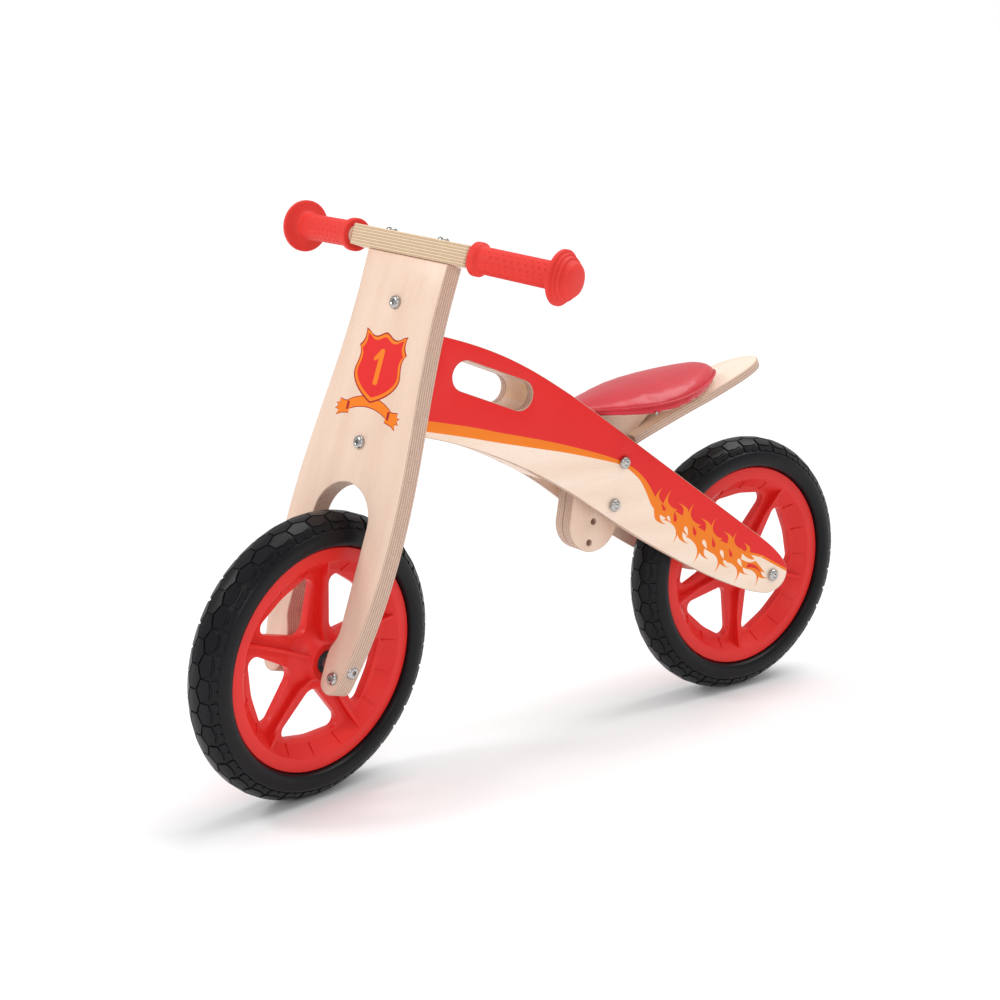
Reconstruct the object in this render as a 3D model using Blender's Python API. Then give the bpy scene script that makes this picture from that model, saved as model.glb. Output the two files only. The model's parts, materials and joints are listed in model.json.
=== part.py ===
"""Child's wooden balance bike: two spoked wheels, a plywood fork and handlebar that steer about a
leaning pin, two bent side panels, a seat post of two boards, a tail board and a padded saddle.

Frame: metres, +Z up, the bike rolls towards -X and its left side is -Y. The origin is on the ground,
in the plane of symmetry, midway between the axles of the straight bike. The handlebar rests turned
a little to the left.
"""

import math

import bmesh
import bpy
from mathutils import Vector

for old in list(bpy.data.objects):
    bpy.data.objects.remove(old, do_unlink=True)

# Clearance between pieces that touch
GAP = 0.0003

# Overall sizes
WHEELBASE = 0.556
WHEEL_RADIUS = 0.145
TYRE_WIDTH = 0.0460
HEAD_ANGLE = 18.2
AXIS_OFFSET = 0.030
STEER_REST = 11.65
HANDLEBAR_HALF = 0.0785
TAIL_SPREAD = 0.125

# Wheels
RIM_RADIUS = 0.1127
RIM_WIDTH = 0.0334
HUB_HALF = 0.0215
SPOKES = 5
FRONT_SPOKE_TURN = 31.7
REAR_SPOKE_TURN = -18.2
AXLE_RADIUS = 0.004
BEARING_RADIUS = 0.0107
BEARING_WIDTH = 0.0066

# Fork, in heights along the steering axis from the point level with the axle
FORK_THICKNESS = 0.020
TYRE_CLEARANCE = 0.027
ARCH_HALF = TYRE_WIDTH / 2 + 0.0145
FORK_TOP_HALF = 0.0540
FORK_WIDE_HALF = ARCH_HALF + 0.0343
FORK_FOOT_RADIUS = 0.0125
FRONT_SPACER = 0.0069
ARCH_TOP = WHEEL_RADIUS + TYRE_CLEARANCE
LOWER_EYE = ARCH_TOP + 0.040
EYE_HEIGHT = 0.024
HEAD_LENGTH = 0.100
HEAD_BOTTOM = LOWER_EYE + 0.018
HEAD_TOP = HEAD_BOTTOM + HEAD_LENGTH
UPPER_EYE = HEAD_TOP + 0.020
FORK_TOP = UPPER_EYE + 0.0456
PIN_RADIUS = 0.005
BAR_HEIGHT = 0.0205
BAR_DEPTH = 0.021
BAR_AHEAD = 0.004
GRIP_SWEEP = 9.7
GRIP_LENGTH = 0.1150
GRIP_BORE = 0.0103
TONGUE_RADIUS = GRIP_BORE - GAP

# Side panels and head block
PANEL_THICKNESS = 0.009
CORE_WIDTH = 0.0365
CORE_HALF = CORE_WIDTH / 2
HEAD_HALF = CORE_HALF + GAP + PANEL_THICKNESS
BEND_LENGTH = 0.030
SLOT_RADIUS = 0.0153
SLOT_FRONT = (0.0487, 0.0688)
SLOT_REAR = (0.1203, 0.0644)

# Seat post, tail board and saddle
POST_LEAN = 14.6
POST_BOARD = 0.012
POST_BOLT_PITCH = 0.046
POST_HALF_WIDTH = 0.032
POST_BOTTOM = 0.070
SADDLE_HEIGHT = 0.0487
SADDLE_LENGTH = 0.231
SADDLE_HALF_WIDTH = 0.057
SADDLE_CURVE = 0.96
SADDLE_WALL = 0.0095
SADDLE_CROWN = 0.0140
BASE_THICKNESS = 0.006
TAIL_RISE = 22.5
TAIL_SAG = 0.356
TAIL_THICKNESS = 0.0095
TAIL_LENGTH = 0.201
TAIL_HALF_WIDTH = 0.0310
TAIL_BELOW_SADDLE = 0.0353

LEAN = math.radians(HEAD_ANGLE)
FRONT_X = -WHEELBASE / 2
REAR_X = WHEELBASE / 2
FOOT_X = FRONT_X + AXIS_OFFSET * math.cos(LEAN)
FOOT_Z = WHEEL_RADIUS - AXIS_OFFSET * math.sin(LEAN)
BOARD_X = -AXIS_OFFSET
BOARD_FRONT = BOARD_X - FORK_THICKNESS / 2
BOARD_BACK = BOARD_X + FORK_THICKNESS / 2


# Materials

def material(name, colour, roughness, metallic=0.0):
    made = bpy.data.materials.new(name)
    made.use_nodes = True
    shader = made.node_tree.nodes["Principled BSDF"]
    shader.inputs["Base Color"].default_value = (*colour, 1.0)
    shader.inputs["Roughness"].default_value = roughness
    shader.inputs["Metallic"].default_value = metallic
    made.diffuse_color = (*colour, 1.0)
    return made


BIRCH = material("birch_plywood", (0.80, 0.60, 0.43), 0.5)
PAINTED = material("painted_plywood", (0.80, 0.045, 0.035), 0.35)
RIM_RED = material("rim_plastic", (0.80, 0.03, 0.02), 0.35)
BLACK = material("tyre_foam", (0.015, 0.015, 0.018), 0.5)
GRIP_RED = material("grip_rubber", (0.70, 0.035, 0.03), 0.6)
VINYL = material("saddle_vinyl", (0.75, 0.03, 0.04), 0.3)
STEEL = material("bright_steel", (0.72, 0.72, 0.72), 0.25, 1.0)
NYLON = material("bush_nylon", (0.75, 0.75, 0.72), 0.45)


# Outlines

def bezier(a, b, c, d, steps):
    """Points of a cubic curve after its start, ending at d."""
    points = []
    for i in range(1, steps + 1):
        t = i / steps
        u = 1 - t
        weights = (u * u * u, 3 * u * u * t, 3 * u * t * t, t * t * t)
        points.append(tuple(sum(w * p[k] for w, p in zip(weights, (a, b, c, d))) for k in (0, 1)))
    return points


def arc(centre, radius, start, end, steps):
    """Points of an arc, both ends included, angles in degrees."""
    points = []
    for i in range(steps + 1):
        angle = math.radians(start + (end - start) * i / steps)
        points.append((centre[0] + radius * math.cos(angle), centre[1] + radius * math.sin(angle)))
    return points


def rounded(corners, radii, steps):
    """A polygon whose corners are rounded, each with its own radius."""
    points = []
    count = len(corners)
    for i, corner in enumerate(corners):
        here = Vector(corner)
        before = (Vector(corners[i - 1]) - here).normalized()
        after = (Vector(corners[(i + 1) % count]) - here).normalized()
        half = before.angle(after) / 2
        centre = here + (before + after).normalized() * radii[i] / math.sin(half)
        reach = radii[i] / math.tan(half)
        first = here + before * reach - centre
        turn = first.angle_signed(here + after * reach - centre)
        start = math.atan2(first.y, first.x)
        for k in range(steps + 1):
            angle = start - turn * k / steps
            points.append((centre.x + radii[i] * math.cos(angle), centre.y + radii[i] * math.sin(angle)))
    return points


# Meshes

def finish(name, bm, mat, parent=None, location=(0, 0, 0), rotation=(0, 0, 0)):
    """Turns a bmesh into an object with its faces outward and its round sides smooth."""
    bmesh.ops.remove_doubles(bm, verts=bm.verts, dist=1e-6)
    bmesh.ops.recalc_face_normals(bm, faces=bm.faces)
    mesh = bpy.data.meshes.new(name)
    bm.to_mesh(mesh)
    bm.free()
    mesh.shade_smooth()
    mesh.set_sharp_from_angle(angle=math.radians(35))
    obj = bpy.data.objects.new(name, mesh)
    bpy.context.scene.collection.objects.link(obj)
    if mat:
        mesh.materials.append(mat)
    obj.parent = parent
    obj.location = location
    obj.rotation_euler = rotation
    return obj


def prism(outline, low, high, axis, origin=(0, 0)):
    """An outline extruded from low to high along axis; origin is taken off the outline's points."""
    bm = bmesh.new()
    places = {"x": lambda u, v: (low, u, v), "y": lambda u, v: (u, low, v), "z": lambda u, v: (u, v, low)}
    way = {"x": Vector((1, 0, 0)), "y": Vector((0, 1, 0)), "z": Vector((0, 0, 1))}[axis]
    verts = [bm.verts.new(places[axis](u - origin[0], v - origin[1])) for u, v in outline]
    face = bm.faces.new(verts)
    raised = bmesh.ops.extrude_face_region(bm, geom=[face])
    moved = [item for item in raised["geom"] if isinstance(item, bmesh.types.BMVert)]
    bmesh.ops.translate(bm, verts=moved, vec=way * (high - low))
    return bm


def turned(profile, axis, steps):
    """A profile of (radius, along) spun about axis; it is closed, or ends on the axis at both ends."""
    bm = bmesh.new()
    across = {"x": Vector((0, 0, 1)), "y": Vector((1, 0, 0)), "z": Vector((1, 0, 0))}[axis]
    along = {"x": Vector((1, 0, 0)), "y": Vector((0, 1, 0)), "z": Vector((0, 0, 1))}[axis]
    verts = [bm.verts.new(across * r + along * a) for r, a in profile]
    edges = [bm.edges.new(pair) for pair in zip(verts, verts[1:])]
    if profile[0][0] > 0:
        edges.append(bm.edges.new((verts[-1], verts[0])))
    bmesh.ops.spin(bm, geom=verts + edges, cent=(0, 0, 0), axis=along, angle=2 * math.pi, steps=steps)
    bmesh.ops.remove_doubles(bm, verts=bm.verts, dist=1e-6)
    return bm


def ring(inner, outer, low, high):
    return [(inner, low), (outer, low), (outer, high), (inner, high)]


def rod(radius, low, high):
    return [(0, low), (radius, low), (radius, high), (0, high)]


def cut(target, bm, parent=None, location=(0, 0, 0), rotation=(0, 0, 0), operation="DIFFERENCE"):
    """Cuts a helper out of target, or joins it on; the helper itself isn't rendered."""
    helper = finish(target.name + ".helper", bm, None, parent, location, rotation)
    helper.hide_render = True
    helper.display_type = "WIRE"
    modifier = target.modifiers.new(operation.lower(), "BOOLEAN")
    modifier.operation = operation
    modifier.solver = "EXACT"
    modifier.object = helper
    return helper


def empty(name, parent=None, location=(0, 0, 0), rotation=(0, 0, 0)):
    made = bpy.data.objects.new(name, None)
    bpy.context.scene.collection.objects.link(made)
    made.empty_display_size = 0.03
    made.parent = parent
    made.location = location
    made.rotation_mode = "ZYX"
    made.rotation_euler = rotation
    return made


def bolt(head, height, shank, length):
    """Profile of a button-head bolt whose head stands below zero and whose shank runs up."""
    socket = head * 0.36
    return [
        (0, -height * 0.45),
        (socket, -height * 0.45),
        (socket, -height),
        (head * 0.66, -height * 0.92),
        (head * 0.92, -height * 0.5),
        (head, -height * 0.1),
        (head, 0),
        (shank, 0),
        (shank, length),
        (0, length),
    ]


def sleeve_nut(head, height, sleeve, length, bore, depth):
    """Profile of a button-head sleeve nut: a bolt head whose hollow sleeve takes the bolt's end."""
    outside = bolt(head, height, sleeve, length)[:-1]
    return outside + [(bore, length), (bore, length - depth), (0, length - depth)]


# Places on the side view

def head(back, up):
    """World (x, z) at a distance back from the steering axis and a height along it."""
    x = FOOT_X + back * math.cos(LEAN) + up * math.sin(LEAN)
    z = FOOT_Z - back * math.sin(LEAN) + up * math.cos(LEAN)
    return x, z


HEAD_X, HEAD_Z = head(0, (HEAD_BOTTOM + HEAD_TOP) / 2)


def mid(a, b):
    """World (x, z) at share a from the head to the rear axle and share b from axle height to the head."""
    return HEAD_X + a * (REAR_X - HEAD_X), WHEEL_RADIUS + b * (HEAD_Z - WHEEL_RADIUS)


def tail(x, z):
    return REAR_X + x, WHEEL_RADIUS + z


BEND_START = mid(0.323, 0)[0]
SPLAY_START = BEND_START + BEND_LENGTH / 2
SPLAY = (TAIL_SPREAD / 2 - HEAD_HALF) / (REAR_X - SPLAY_START)


def panel_outer(x):
    """Distance from the mid-plane to a side panel's outer face."""
    if x <= BEND_START:
        return HEAD_HALF
    if x < BEND_START + BEND_LENGTH:
        return HEAD_HALF + SPLAY * (x - BEND_START) ** 2 / (2 * BEND_LENGTH)
    return HEAD_HALF + SPLAY * (x - SPLAY_START)


def panel_inner(x):
    return panel_outer(x) - PANEL_THICKNESS


POST_X, POST_Z = mid(0.5569, 0.5818)
POST_UP = math.radians(POST_LEAN)


def post(up, back):
    """World (x, z) of a point of the seat post, from its upper bolt."""
    x = POST_X + up * math.sin(POST_UP) + back * math.cos(POST_UP)
    z = POST_Z + up * math.cos(POST_UP) - back * math.sin(POST_UP)
    return x, z


SADDLE_LOW_X = POST_X - 0.010


def saddle_bottom(x):
    return POST_Z + SADDLE_HEIGHT + SADDLE_CURVE * (x - SADDLE_LOW_X) ** 2


# Axes

head_axis = empty("head_axis", None, (FOOT_X, 0, FOOT_Z), (0, LEAN, 0))
steering_axis = empty("steering_axis", head_axis, (0, 0, 0), (0, 0, math.radians(STEER_REST)))
front_axle = empty("front_axle", steering_axis, (-AXIS_OFFSET, 0, 0))
rear_axle = empty("rear_axle", None, (REAR_X, 0, WHEEL_RADIUS))


# Wheels

WHEEL_STEPS = 40
LIP = 0.0135
BED_RADIUS = RIM_RADIUS + 0.0053
WEB_HALF = 0.0045
RIB_HALF = 0.0017


def rim_half():
    """Half of the rim's section from the mid-plane of the tyre bed out to the hub's end."""
    half = RIM_WIDTH / 2
    return [
        (BED_RADIUS, 0),
        (BED_RADIUS, half * 0.52),
        (RIM_RADIUS, half * 0.66),
        (RIM_RADIUS, half),
        (RIM_RADIUS - LIP, half),
        (RIM_RADIUS * 0.780, WEB_HALF),
        (RIM_RADIUS * 0.310, WEB_HALF),
        (0.0205, HUB_HALF * 0.62),
        (0.0180, HUB_HALF),
        (BEARING_RADIUS + GAP, HUB_HALF),
        (BEARING_RADIUS + GAP, HUB_HALF - BEARING_WIDTH - GAP),
        (AXLE_RADIUS + 0.0025, HUB_HALF - BEARING_WIDTH - GAP),
    ]


def window():
    """One opening between two spokes, about the direction of +X."""
    reach = RIM_RADIUS * 0.723
    near, far = 0.0135, 0.0095
    half = math.pi / SPOKES
    edge = []
    for distance, width in ((RIM_RADIUS * 0.40, near), (reach, far)):
        along = distance * math.cos(half) + width * math.sin(half)
        edge.append(Vector((along, distance * math.sin(half) - width * math.cos(half))))
    slope = edge[1] - edge[0]
    tip = edge[0] - slope * edge[0].y / slope.y
    outer = tip + slope * (reach - tip.x) / slope.x * 0.92
    corners = [(tip.x, 0), (outer.x, outer.y), (reach * 1.005, 0), (outer.x, -outer.y)]
    return rounded(corners, (0.010, 0.008, 0.070, 0.008), 3)


def build_wheel(name, axle, turn):
    half = rim_half()
    profile = half + [(r, -a) for r, a in reversed(half) if a > 0]
    spin = (0, -math.radians(turn), 0)
    rim = finish(name + "_rim", turned(profile, "y", WHEEL_STEPS), RIM_RED, axle, (0, 0, 0), spin)
    cutter = bmesh.new()
    ribs = bmesh.new()
    for i in range(SPOKES):
        angle = 2 * math.pi * (i + 0.5) / SPOKES
        turn_to = [(u * math.cos(angle) - v * math.sin(angle), u * math.sin(angle) + v * math.cos(angle))
                   for u, v in window()]
        piece = prism(turn_to, -0.03, 0.03, "y")
        add_to(cutter, piece)
        angle = 2 * math.pi * i / SPOKES
        side = [(0.0190, HUB_HALF * 0.80), (0.034, 0.0115), (0.062, 0.0100),
                (RIM_RADIUS - LIP + 0.001, RIM_WIDTH * 0.42)]
        outline = side + [(r, -a) for r, a in reversed(side)]
        piece = prism(outline, -RIB_HALF, RIB_HALF, "z")
        for vert in piece.verts:
            x, z = vert.co.x, vert.co.z
            vert.co.x = x * math.cos(angle) - z * math.sin(angle)
            vert.co.z = x * math.sin(angle) + z * math.cos(angle)
        add_to(ribs, piece)
    cut(rim, cutter, axle, (0, 0, 0), spin)
    cut(rim, ribs, axle, (0, 0, 0), spin, "UNION")
    tyre_half = TYRE_WIDTH / 2
    depth = WHEEL_RADIUS - RIM_RADIUS
    centre = WHEEL_RADIUS - depth * 0.70
    rise = WHEEL_RADIUS - centre
    sink = math.degrees(math.asin((centre - RIM_RADIUS - 2 * GAP) / rise))
    outside = [(centre + r, a) for a, r in
               ((tyre_half * math.cos(math.radians(t)), rise * math.sin(math.radians(t)))
                for t in (90 - (90 + sink) * k / 7 for k in range(8)))]
    bed = RIM_WIDTH / 2
    inside = [(RIM_RADIUS + GAP, bed * 0.66), (BED_RADIUS + GAP, bed * 0.54)]
    side = outside + inside
    profile = [(r, -a) for r, a in reversed(side)] + side[1:]
    finish(name + "_tyre", turned(profile, "y", WHEEL_STEPS), BLACK, axle, (0, 0, 0), spin)
    for label, way in (("left", -1), ("right", 1)):
        low = way * (HUB_HALF - BEARING_WIDTH)
        high = way * HUB_HALF
        section = ring(AXLE_RADIUS + GAP, BEARING_RADIUS, min(low, high), max(low, high))
        finish(name + "_bearing_" + label, turned(section, "y", 24), STEEL, axle)


def add_to(bm, other):
    """Adds the geometry of other to bm."""
    mesh = bpy.data.meshes.new("joined")
    bmesh.ops.recalc_face_normals(other, faces=other.faces)
    other.to_mesh(mesh)
    other.free()
    bm.from_mesh(mesh)
    bpy.data.meshes.remove(mesh)


build_wheel("front", front_axle, FRONT_SPOKE_TURN)
build_wheel("rear", rear_axle, REAR_SPOKE_TURN)


# Fork board: a front view outline of width y and height s, extruded through its thickness

FOOT_INNER = HUB_HALF + FRONT_SPACER + 2 * GAP
FOOT_Y = FOOT_INNER + FORK_FOOT_RADIUS
FOOT_S = -0.0148
FOOT_FACE = FOOT_Y + FORK_FOOT_RADIUS + 0.0028
ARCH_S = ARCH_TOP - ARCH_HALF


def fork_half():
    """The board's right half, from the middle of its top edge round to the arch's apex."""
    slant = 16
    out = (math.cos(math.radians(slant)), -math.sin(math.radians(slant)))
    toe = (FOOT_Y + FORK_FOOT_RADIUS * out[0], FOOT_S + FORK_FOOT_RADIUS * out[1])
    waist = (FORK_TOP_HALF - 0.0005, FORK_TOP - 0.035)
    wide = (FORK_WIDE_HALF, ARCH_S - 0.012)
    points = [(FORK_TOP_HALF, FORK_TOP), waist]
    reach = (waist[1] - wide[1]) * 0.36
    points += bezier(waist, (waist[0], waist[1] - reach), (wide[0], wide[1] + reach), wide, 9)
    above = (toe[0] - out[1] * 0.045, toe[1] + out[0] * 0.045)
    points += bezier(wide, (wide[0], wide[1] - 0.05), above, toe, 8)
    points += arc((FOOT_Y, FOOT_S), FORK_FOOT_RADIUS, -slant, -180, 8)[1:]
    ankle = (FOOT_INNER, 0.006)
    knee = (ARCH_HALF, 0.038)
    points += [ankle]
    points += bezier(ankle, (ankle[0], 0.021), (knee[0], 0.023), knee, 5)
    points += arc((0, ARCH_S), ARCH_HALF, 0, 90, 9)
    return points


half = fork_half()
outline = half + [(-y, s) for y, s in reversed(half[:-1])]
fork_board = finish("fork_board", prism(outline, BOARD_FRONT, BOARD_BACK, "x"), BIRCH, steering_axis)

EYE_HALF = 0.012
EYE_BOLT = 0.003
EYE_BOLT_DEPTH = 0.0105
for name, height in (("lower", LOWER_EYE), ("upper", UPPER_EYE)):
    low = height - EYE_HEIGHT / 2
    high = height + EYE_HEIGHT / 2
    start = BOARD_BACK + GAP
    flat = [(start, -EYE_HALF), (start, EYE_HALF)] + [(x, y) for x, y in arc((0, 0), EYE_HALF, 90, -90, 12)]
    eye = finish(name + "_steering_eye", prism(flat, low, high, "z"), STEEL, steering_axis)
    cut(eye, turned(rod(PIN_RADIUS + GAP, low - 0.01, high + 0.01), "z", 20), steering_axis)
    cut(eye, turned(rod(EYE_BOLT + GAP, -0.01, EYE_BOLT_DEPTH + GAP), "x", 12), steering_axis,
        (start, 0, height))
    length = FORK_THICKNESS + EYE_BOLT_DEPTH
    finish(name + "_eye_bolt", turned(bolt(0.0066, 0.0036, EYE_BOLT, length), "x", 12), STEEL, steering_axis,
           (BOARD_FRONT - GAP, 0, height))
    cut(fork_board, turned(rod(EYE_BOLT + GAP, -0.01, FORK_THICKNESS + 0.01), "x", 12), steering_axis,
        (BOARD_FRONT, 0, height))

pin_low = LOWER_EYE - EYE_HEIGHT / 2 - 0.0075
pin_high = UPPER_EYE + EYE_HEIGHT / 2 + GAP
pin = [(0, pin_low), (PIN_RADIUS, pin_low), (PIN_RADIUS, pin_high), (0.0085, pin_high),
       (0.0085, pin_high + 0.003), (0.006, pin_high + 0.0045), (0, pin_high + 0.0045)]
finish("steering_pin", turned(pin, "z", 20), STEEL, steering_axis)
nut_high = LOWER_EYE - EYE_HEIGHT / 2 - GAP
hexagon = arc((0, 0), 0.0094, 0, 300, 5)
nut = finish("steering_pin_nut", prism(hexagon, nut_high - 0.006, nut_high, "z"), STEEL, steering_axis)
cut(nut, turned(rod(PIN_RADIUS + GAP, nut_high - 0.02, nut_high + 0.01), "z", 20), steering_axis)

BUSH_RADIUS = 0.0092
FLANGE_RADIUS = 0.0135
FLANGE = 0.003
for name, face, eye_face, way in (
    ("lower", HEAD_BOTTOM, LOWER_EYE + EYE_HEIGHT / 2, -1),
    ("upper", HEAD_TOP, UPPER_EYE - EYE_HEIGHT / 2, 1),
):
    seat = face + way * GAP
    rim_face = seat + way * FLANGE
    bore = PIN_RADIUS + GAP
    section = [(bore, rim_face), (FLANGE_RADIUS, rim_face), (FLANGE_RADIUS, seat), (BUSH_RADIUS, seat),
               (BUSH_RADIUS, face - way * 0.020), (bore, face - way * 0.020)]
    finish(name + "_head_bush", turned(section, "z", 24), NYLON, head_axis)
    low, high = sorted((rim_face + way * GAP, eye_face - way * GAP))
    finish(name + "_thrust_washer", turned(ring(bore, 0.0120, low, high), "z", 24), STEEL, steering_axis)

# Feet of the fork: the axle bolt enters from the left, its sleeve nut from the right

spot = [(0, FOOT_FACE), (0.0078, FOOT_FACE), (0.0078, FOOT_FACE + 0.03), (0, FOOT_FACE + 0.03)]
cut(fork_board, turned(spot, "y", 20), front_axle)
cut(fork_board, turned([(r, -a) for r, a in spot], "y", 20), front_axle)
cut(fork_board, turned(rod(AXLE_RADIUS + 0.0015, -0.09, 0.09), "y", 16), front_axle)
SLEEVE_RADIUS = AXLE_RADIUS + 0.0012


def axle(name, parent, face, inner):
    """A bolt through a wheel with its sleeve nut and two spacers; face is the outside of the support."""
    reach = 2 * face - 0.004
    finish(name + "_axle_bolt", turned(bolt(0.0068, 0.0036, AXLE_RADIUS, reach), "y", 12), STEEL, parent,
           (0, -face - GAP, 0))
    section = sleeve_nut(0.0068, 0.0036, SLEEVE_RADIUS, face - inner - GAP, AXLE_RADIUS + GAP, face - inner - 0.003)
    finish(name + "_axle_nut", turned([(r, -a) for r, a in section], "y", 12), STEEL, parent,
           (0, face + GAP, 0))
    for label, way in (("left", -1), ("right", 1)):
        low, high = sorted((way * (HUB_HALF + GAP), way * (inner - GAP)))
        finish(name + "_axle_spacer_" + label, turned(ring(AXLE_RADIUS + GAP, 0.0072, low, high), "y", 20),
               STEEL, parent)


axle("front", front_axle, FOOT_FACE, FOOT_INNER)

SCREW_Y = FOOT_Y + 0.0023
SCREW_S = -0.0107
for label, way in (("left", -1), ("right", 1)):
    place = (BOARD_FRONT - GAP, way * SCREW_Y, SCREW_S)
    finish("foot_screw_" + label, turned(bolt(0.0062, 0.0033, 0.0025, 0.016), "x", 12), STEEL, steering_axis,
           place)
    cut(fork_board, turned(rod(0.0025 + GAP, -0.01, 0.016 + 2 * GAP), "x", 12), steering_axis, place)

# Handlebar board with a round tongue at each end, swept back inside the grips

bar_x = BOARD_X - BAR_AHEAD
bar_low = FORK_TOP + GAP
bar_mid = bar_low + BAR_HEIGHT / 2
corners = [(bar_x - BAR_DEPTH / 2, -HANDLEBAR_HALF), (bar_x + BAR_DEPTH / 2, -HANDLEBAR_HALF),
           (bar_x + BAR_DEPTH / 2, HANDLEBAR_HALF), (bar_x - BAR_DEPTH / 2, HANDLEBAR_HALF)]
handlebar = finish("handlebar_board", prism(rounded(corners, (0.003,) * 4, 3), bar_low, bar_low + BAR_HEIGHT,
                                            "z"), BIRCH, steering_axis)

GRIP_PROFILE = [
    (GRIP_BORE, 0),
    (0.0152, 0),
    (0.0163, 0.0015),
    (0.0163, 0.0065),
    (0.0130, 0.0105),
    (0.0134, 0.0900),
    (0.0170, 0.0938),
    (0.0260, 0.0950),
    (0.0260, 0.0990),
    (0.0230, 0.1000),
    (0.0230, 0.1026),
    (0.0205, 0.1036),
    (0.0205, 0.1064),
    (0.0172, 0.1074),
    (0.0166, 0.1110),
    (0.0110, 0.1140),
    (0, GRIP_LENGTH),
]
TONGUE_LENGTH = 0.0865
for label, way in (("left", -1), ("right", 1)):
    sweep = -way * math.radians(GRIP_SWEEP)
    end = empty(label + "_grip_axis", steering_axis, (bar_x, way * HANDLEBAR_HALF, bar_mid), (0, 0, sweep))
    bore_end = TONGUE_LENGTH + GAP * 2
    profile = [(0, bore_end), (GRIP_BORE, bore_end)] + GRIP_PROFILE
    clear = BAR_DEPTH / 2 * math.sin(math.radians(GRIP_SWEEP)) + GAP
    profile = [(r, way * (a + clear if a < 0.07 else a)) for r, a in profile]
    finish("grip_" + label, turned(profile, "y", 24), GRIP_RED, end)
    low, high = sorted((-way * 0.02, way * TONGUE_LENGTH))
    cut(handlebar, turned(rod(TONGUE_RADIUS, low, high), "y", 20), end, operation="UNION")
BAR_BOLT_Y = 0.035
for label, way in (("left", -1), ("right", 1)):
    place = (bar_x, way * BAR_BOLT_Y, bar_low + BAR_HEIGHT + GAP)
    section = [(r, -a) for r, a in bolt(0.0058, 0.0030, 0.0025, 0.050)]
    finish("handlebar_bolt_" + label, turned(section, "z", 12), STEEL, steering_axis, place)
    hole = [(r, -a) for r, a in rod(0.0025 + GAP, -0.01, 0.050 + 2 * GAP)]
    cut(handlebar, turned(hole, "z", 12), steering_axis, place)
    cut(fork_board, turned(hole, "z", 12), steering_axis, place)


# Side panels: one outline, bent outward behind the head block

def panel_top():
    start = head(0, HEAD_TOP)
    points = [start] + bezier(start, mid(0.2774, 1.0725), mid(0.3911, 0.9139), mid(0.5956, 0.6500), 14)
    shoulder = tail(-0.0421, 0.0645)
    tip = tail(0.0198, 0.0015)
    points += [shoulder]
    points += bezier(shoulder, tail(-0.0161, 0.0450), tail(0.0198, 0.0210), tip, 6)
    return points


def panel_bottom():
    tip = tail(0.0198, 0.0015)
    heel = tail(-0.0055, -0.0202)
    points = bezier(tip, tail(0.0198, -0.0110), tail(0.0080, -0.0202), heel, 4)
    belly = mid(0.4592, 0.4256)
    points += bezier(heel, tail(-0.0530, -0.0150), mid(0.6296, 0.2104), belly, 9)
    points += bezier(belly, mid(0.3002, 0.6274), mid(0.1070, 0.7576), head(0, HEAD_BOTTOM), 9)
    return points


def slot_outline():
    """The hand hole: a round-ended slot that slopes with the head."""
    ends = [head(back, HEAD_BOTTOM + up) for back, up in (SLOT_FRONT, SLOT_REAR)]
    slope = math.degrees(math.atan2(ends[1][1] - ends[0][1], ends[1][0] - ends[0][0]))
    first = arc(ends[0], SLOT_RADIUS, slope + 90, slope + 270, 10)
    return first + arc(ends[1], SLOT_RADIUS, slope - 90, slope + 90, 10)


LOWER_BOLT = post(-POST_BOLT_PITCH, 0)
POST_BOLT = 0.003
POST_SLEEVE = 0.0042


def side_panel(name, way):
    outline = panel_top() + panel_bottom()
    low, high = sorted((way * (HEAD_HALF - PANEL_THICKNESS), way * HEAD_HALF))
    bm = prism(outline, low, high, "y", (HEAD_X, HEAD_Z))
    for k in range(5):
        x = BEND_START + BEND_LENGTH * k / 4 - HEAD_X
        bmesh.ops.bisect_plane(bm, geom=bm.verts[:] + bm.edges[:] + bm.faces[:], plane_co=(x, 0, 0),
                               plane_no=(1, 0, 0))
    for vert in bm.verts:
        vert.co.y += way * (panel_outer(vert.co.x + HEAD_X) - HEAD_HALF)
    panel = finish(name, bm, PAINTED, None, (HEAD_X, 0, HEAD_Z))
    cut(panel, prism(slot_outline(), 0, way * 0.1, "y"))
    hole = POST_BOLT if way < 0 else POST_SLEEVE
    for x, z in ((POST_X, POST_Z), LOWER_BOLT):
        cut(panel, turned(rod(hole + GAP, -0.1, 0.1), "y", 16), None, (x, 0, z))
    hole = AXLE_RADIUS if way < 0 else SLEEVE_RADIUS
    cut(panel, turned(rod(hole + GAP, -0.1, 0.1), "y", 16), rear_axle)


side_panel("left_side_panel", -1)
side_panel("right_side_panel", 1)


# Head block between the panels, its nose round about the steering axis

def to_head(x, z):
    dx, dz = x - FOOT_X, z - FOOT_Z
    return dx * math.cos(LEAN) - dz * math.sin(LEAN), dx * math.sin(LEAN) + dz * math.cos(LEAN)


core_end = BEND_START + 0.010
top = [p for p in panel_top()[1:] if p[0] < core_end - 0.006]
bottom = [p for p in panel_bottom() if p[0] < core_end - 0.020][:-1]
nose = [(-CORE_HALF, HEAD_BOTTOM), (-CORE_HALF, HEAD_TOP), (0, HEAD_TOP)]
top_end = (core_end, top[-1][1] - (core_end - top[-1][0]) * 0.72)
bottom_end = (core_end, bottom[0][1] - (core_end - bottom[0][0]) * 0.60)
outline = nose + [to_head(*p) for p in top + [top_end, bottom_end] + bottom] + [(0, HEAD_BOTTOM)]
bm = prism(outline, -CORE_HALF, CORE_HALF, "y")
NOSE_STEPS = 6
for k in range(NOSE_STEPS):
    angle = math.pi / 2 * k / NOSE_STEPS
    bmesh.ops.bisect_plane(bm, geom=bm.verts[:] + bm.edges[:] + bm.faces[:],
                           plane_co=(-CORE_HALF * math.sin(angle), 0, 0), plane_no=(1, 0, 0))
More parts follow.
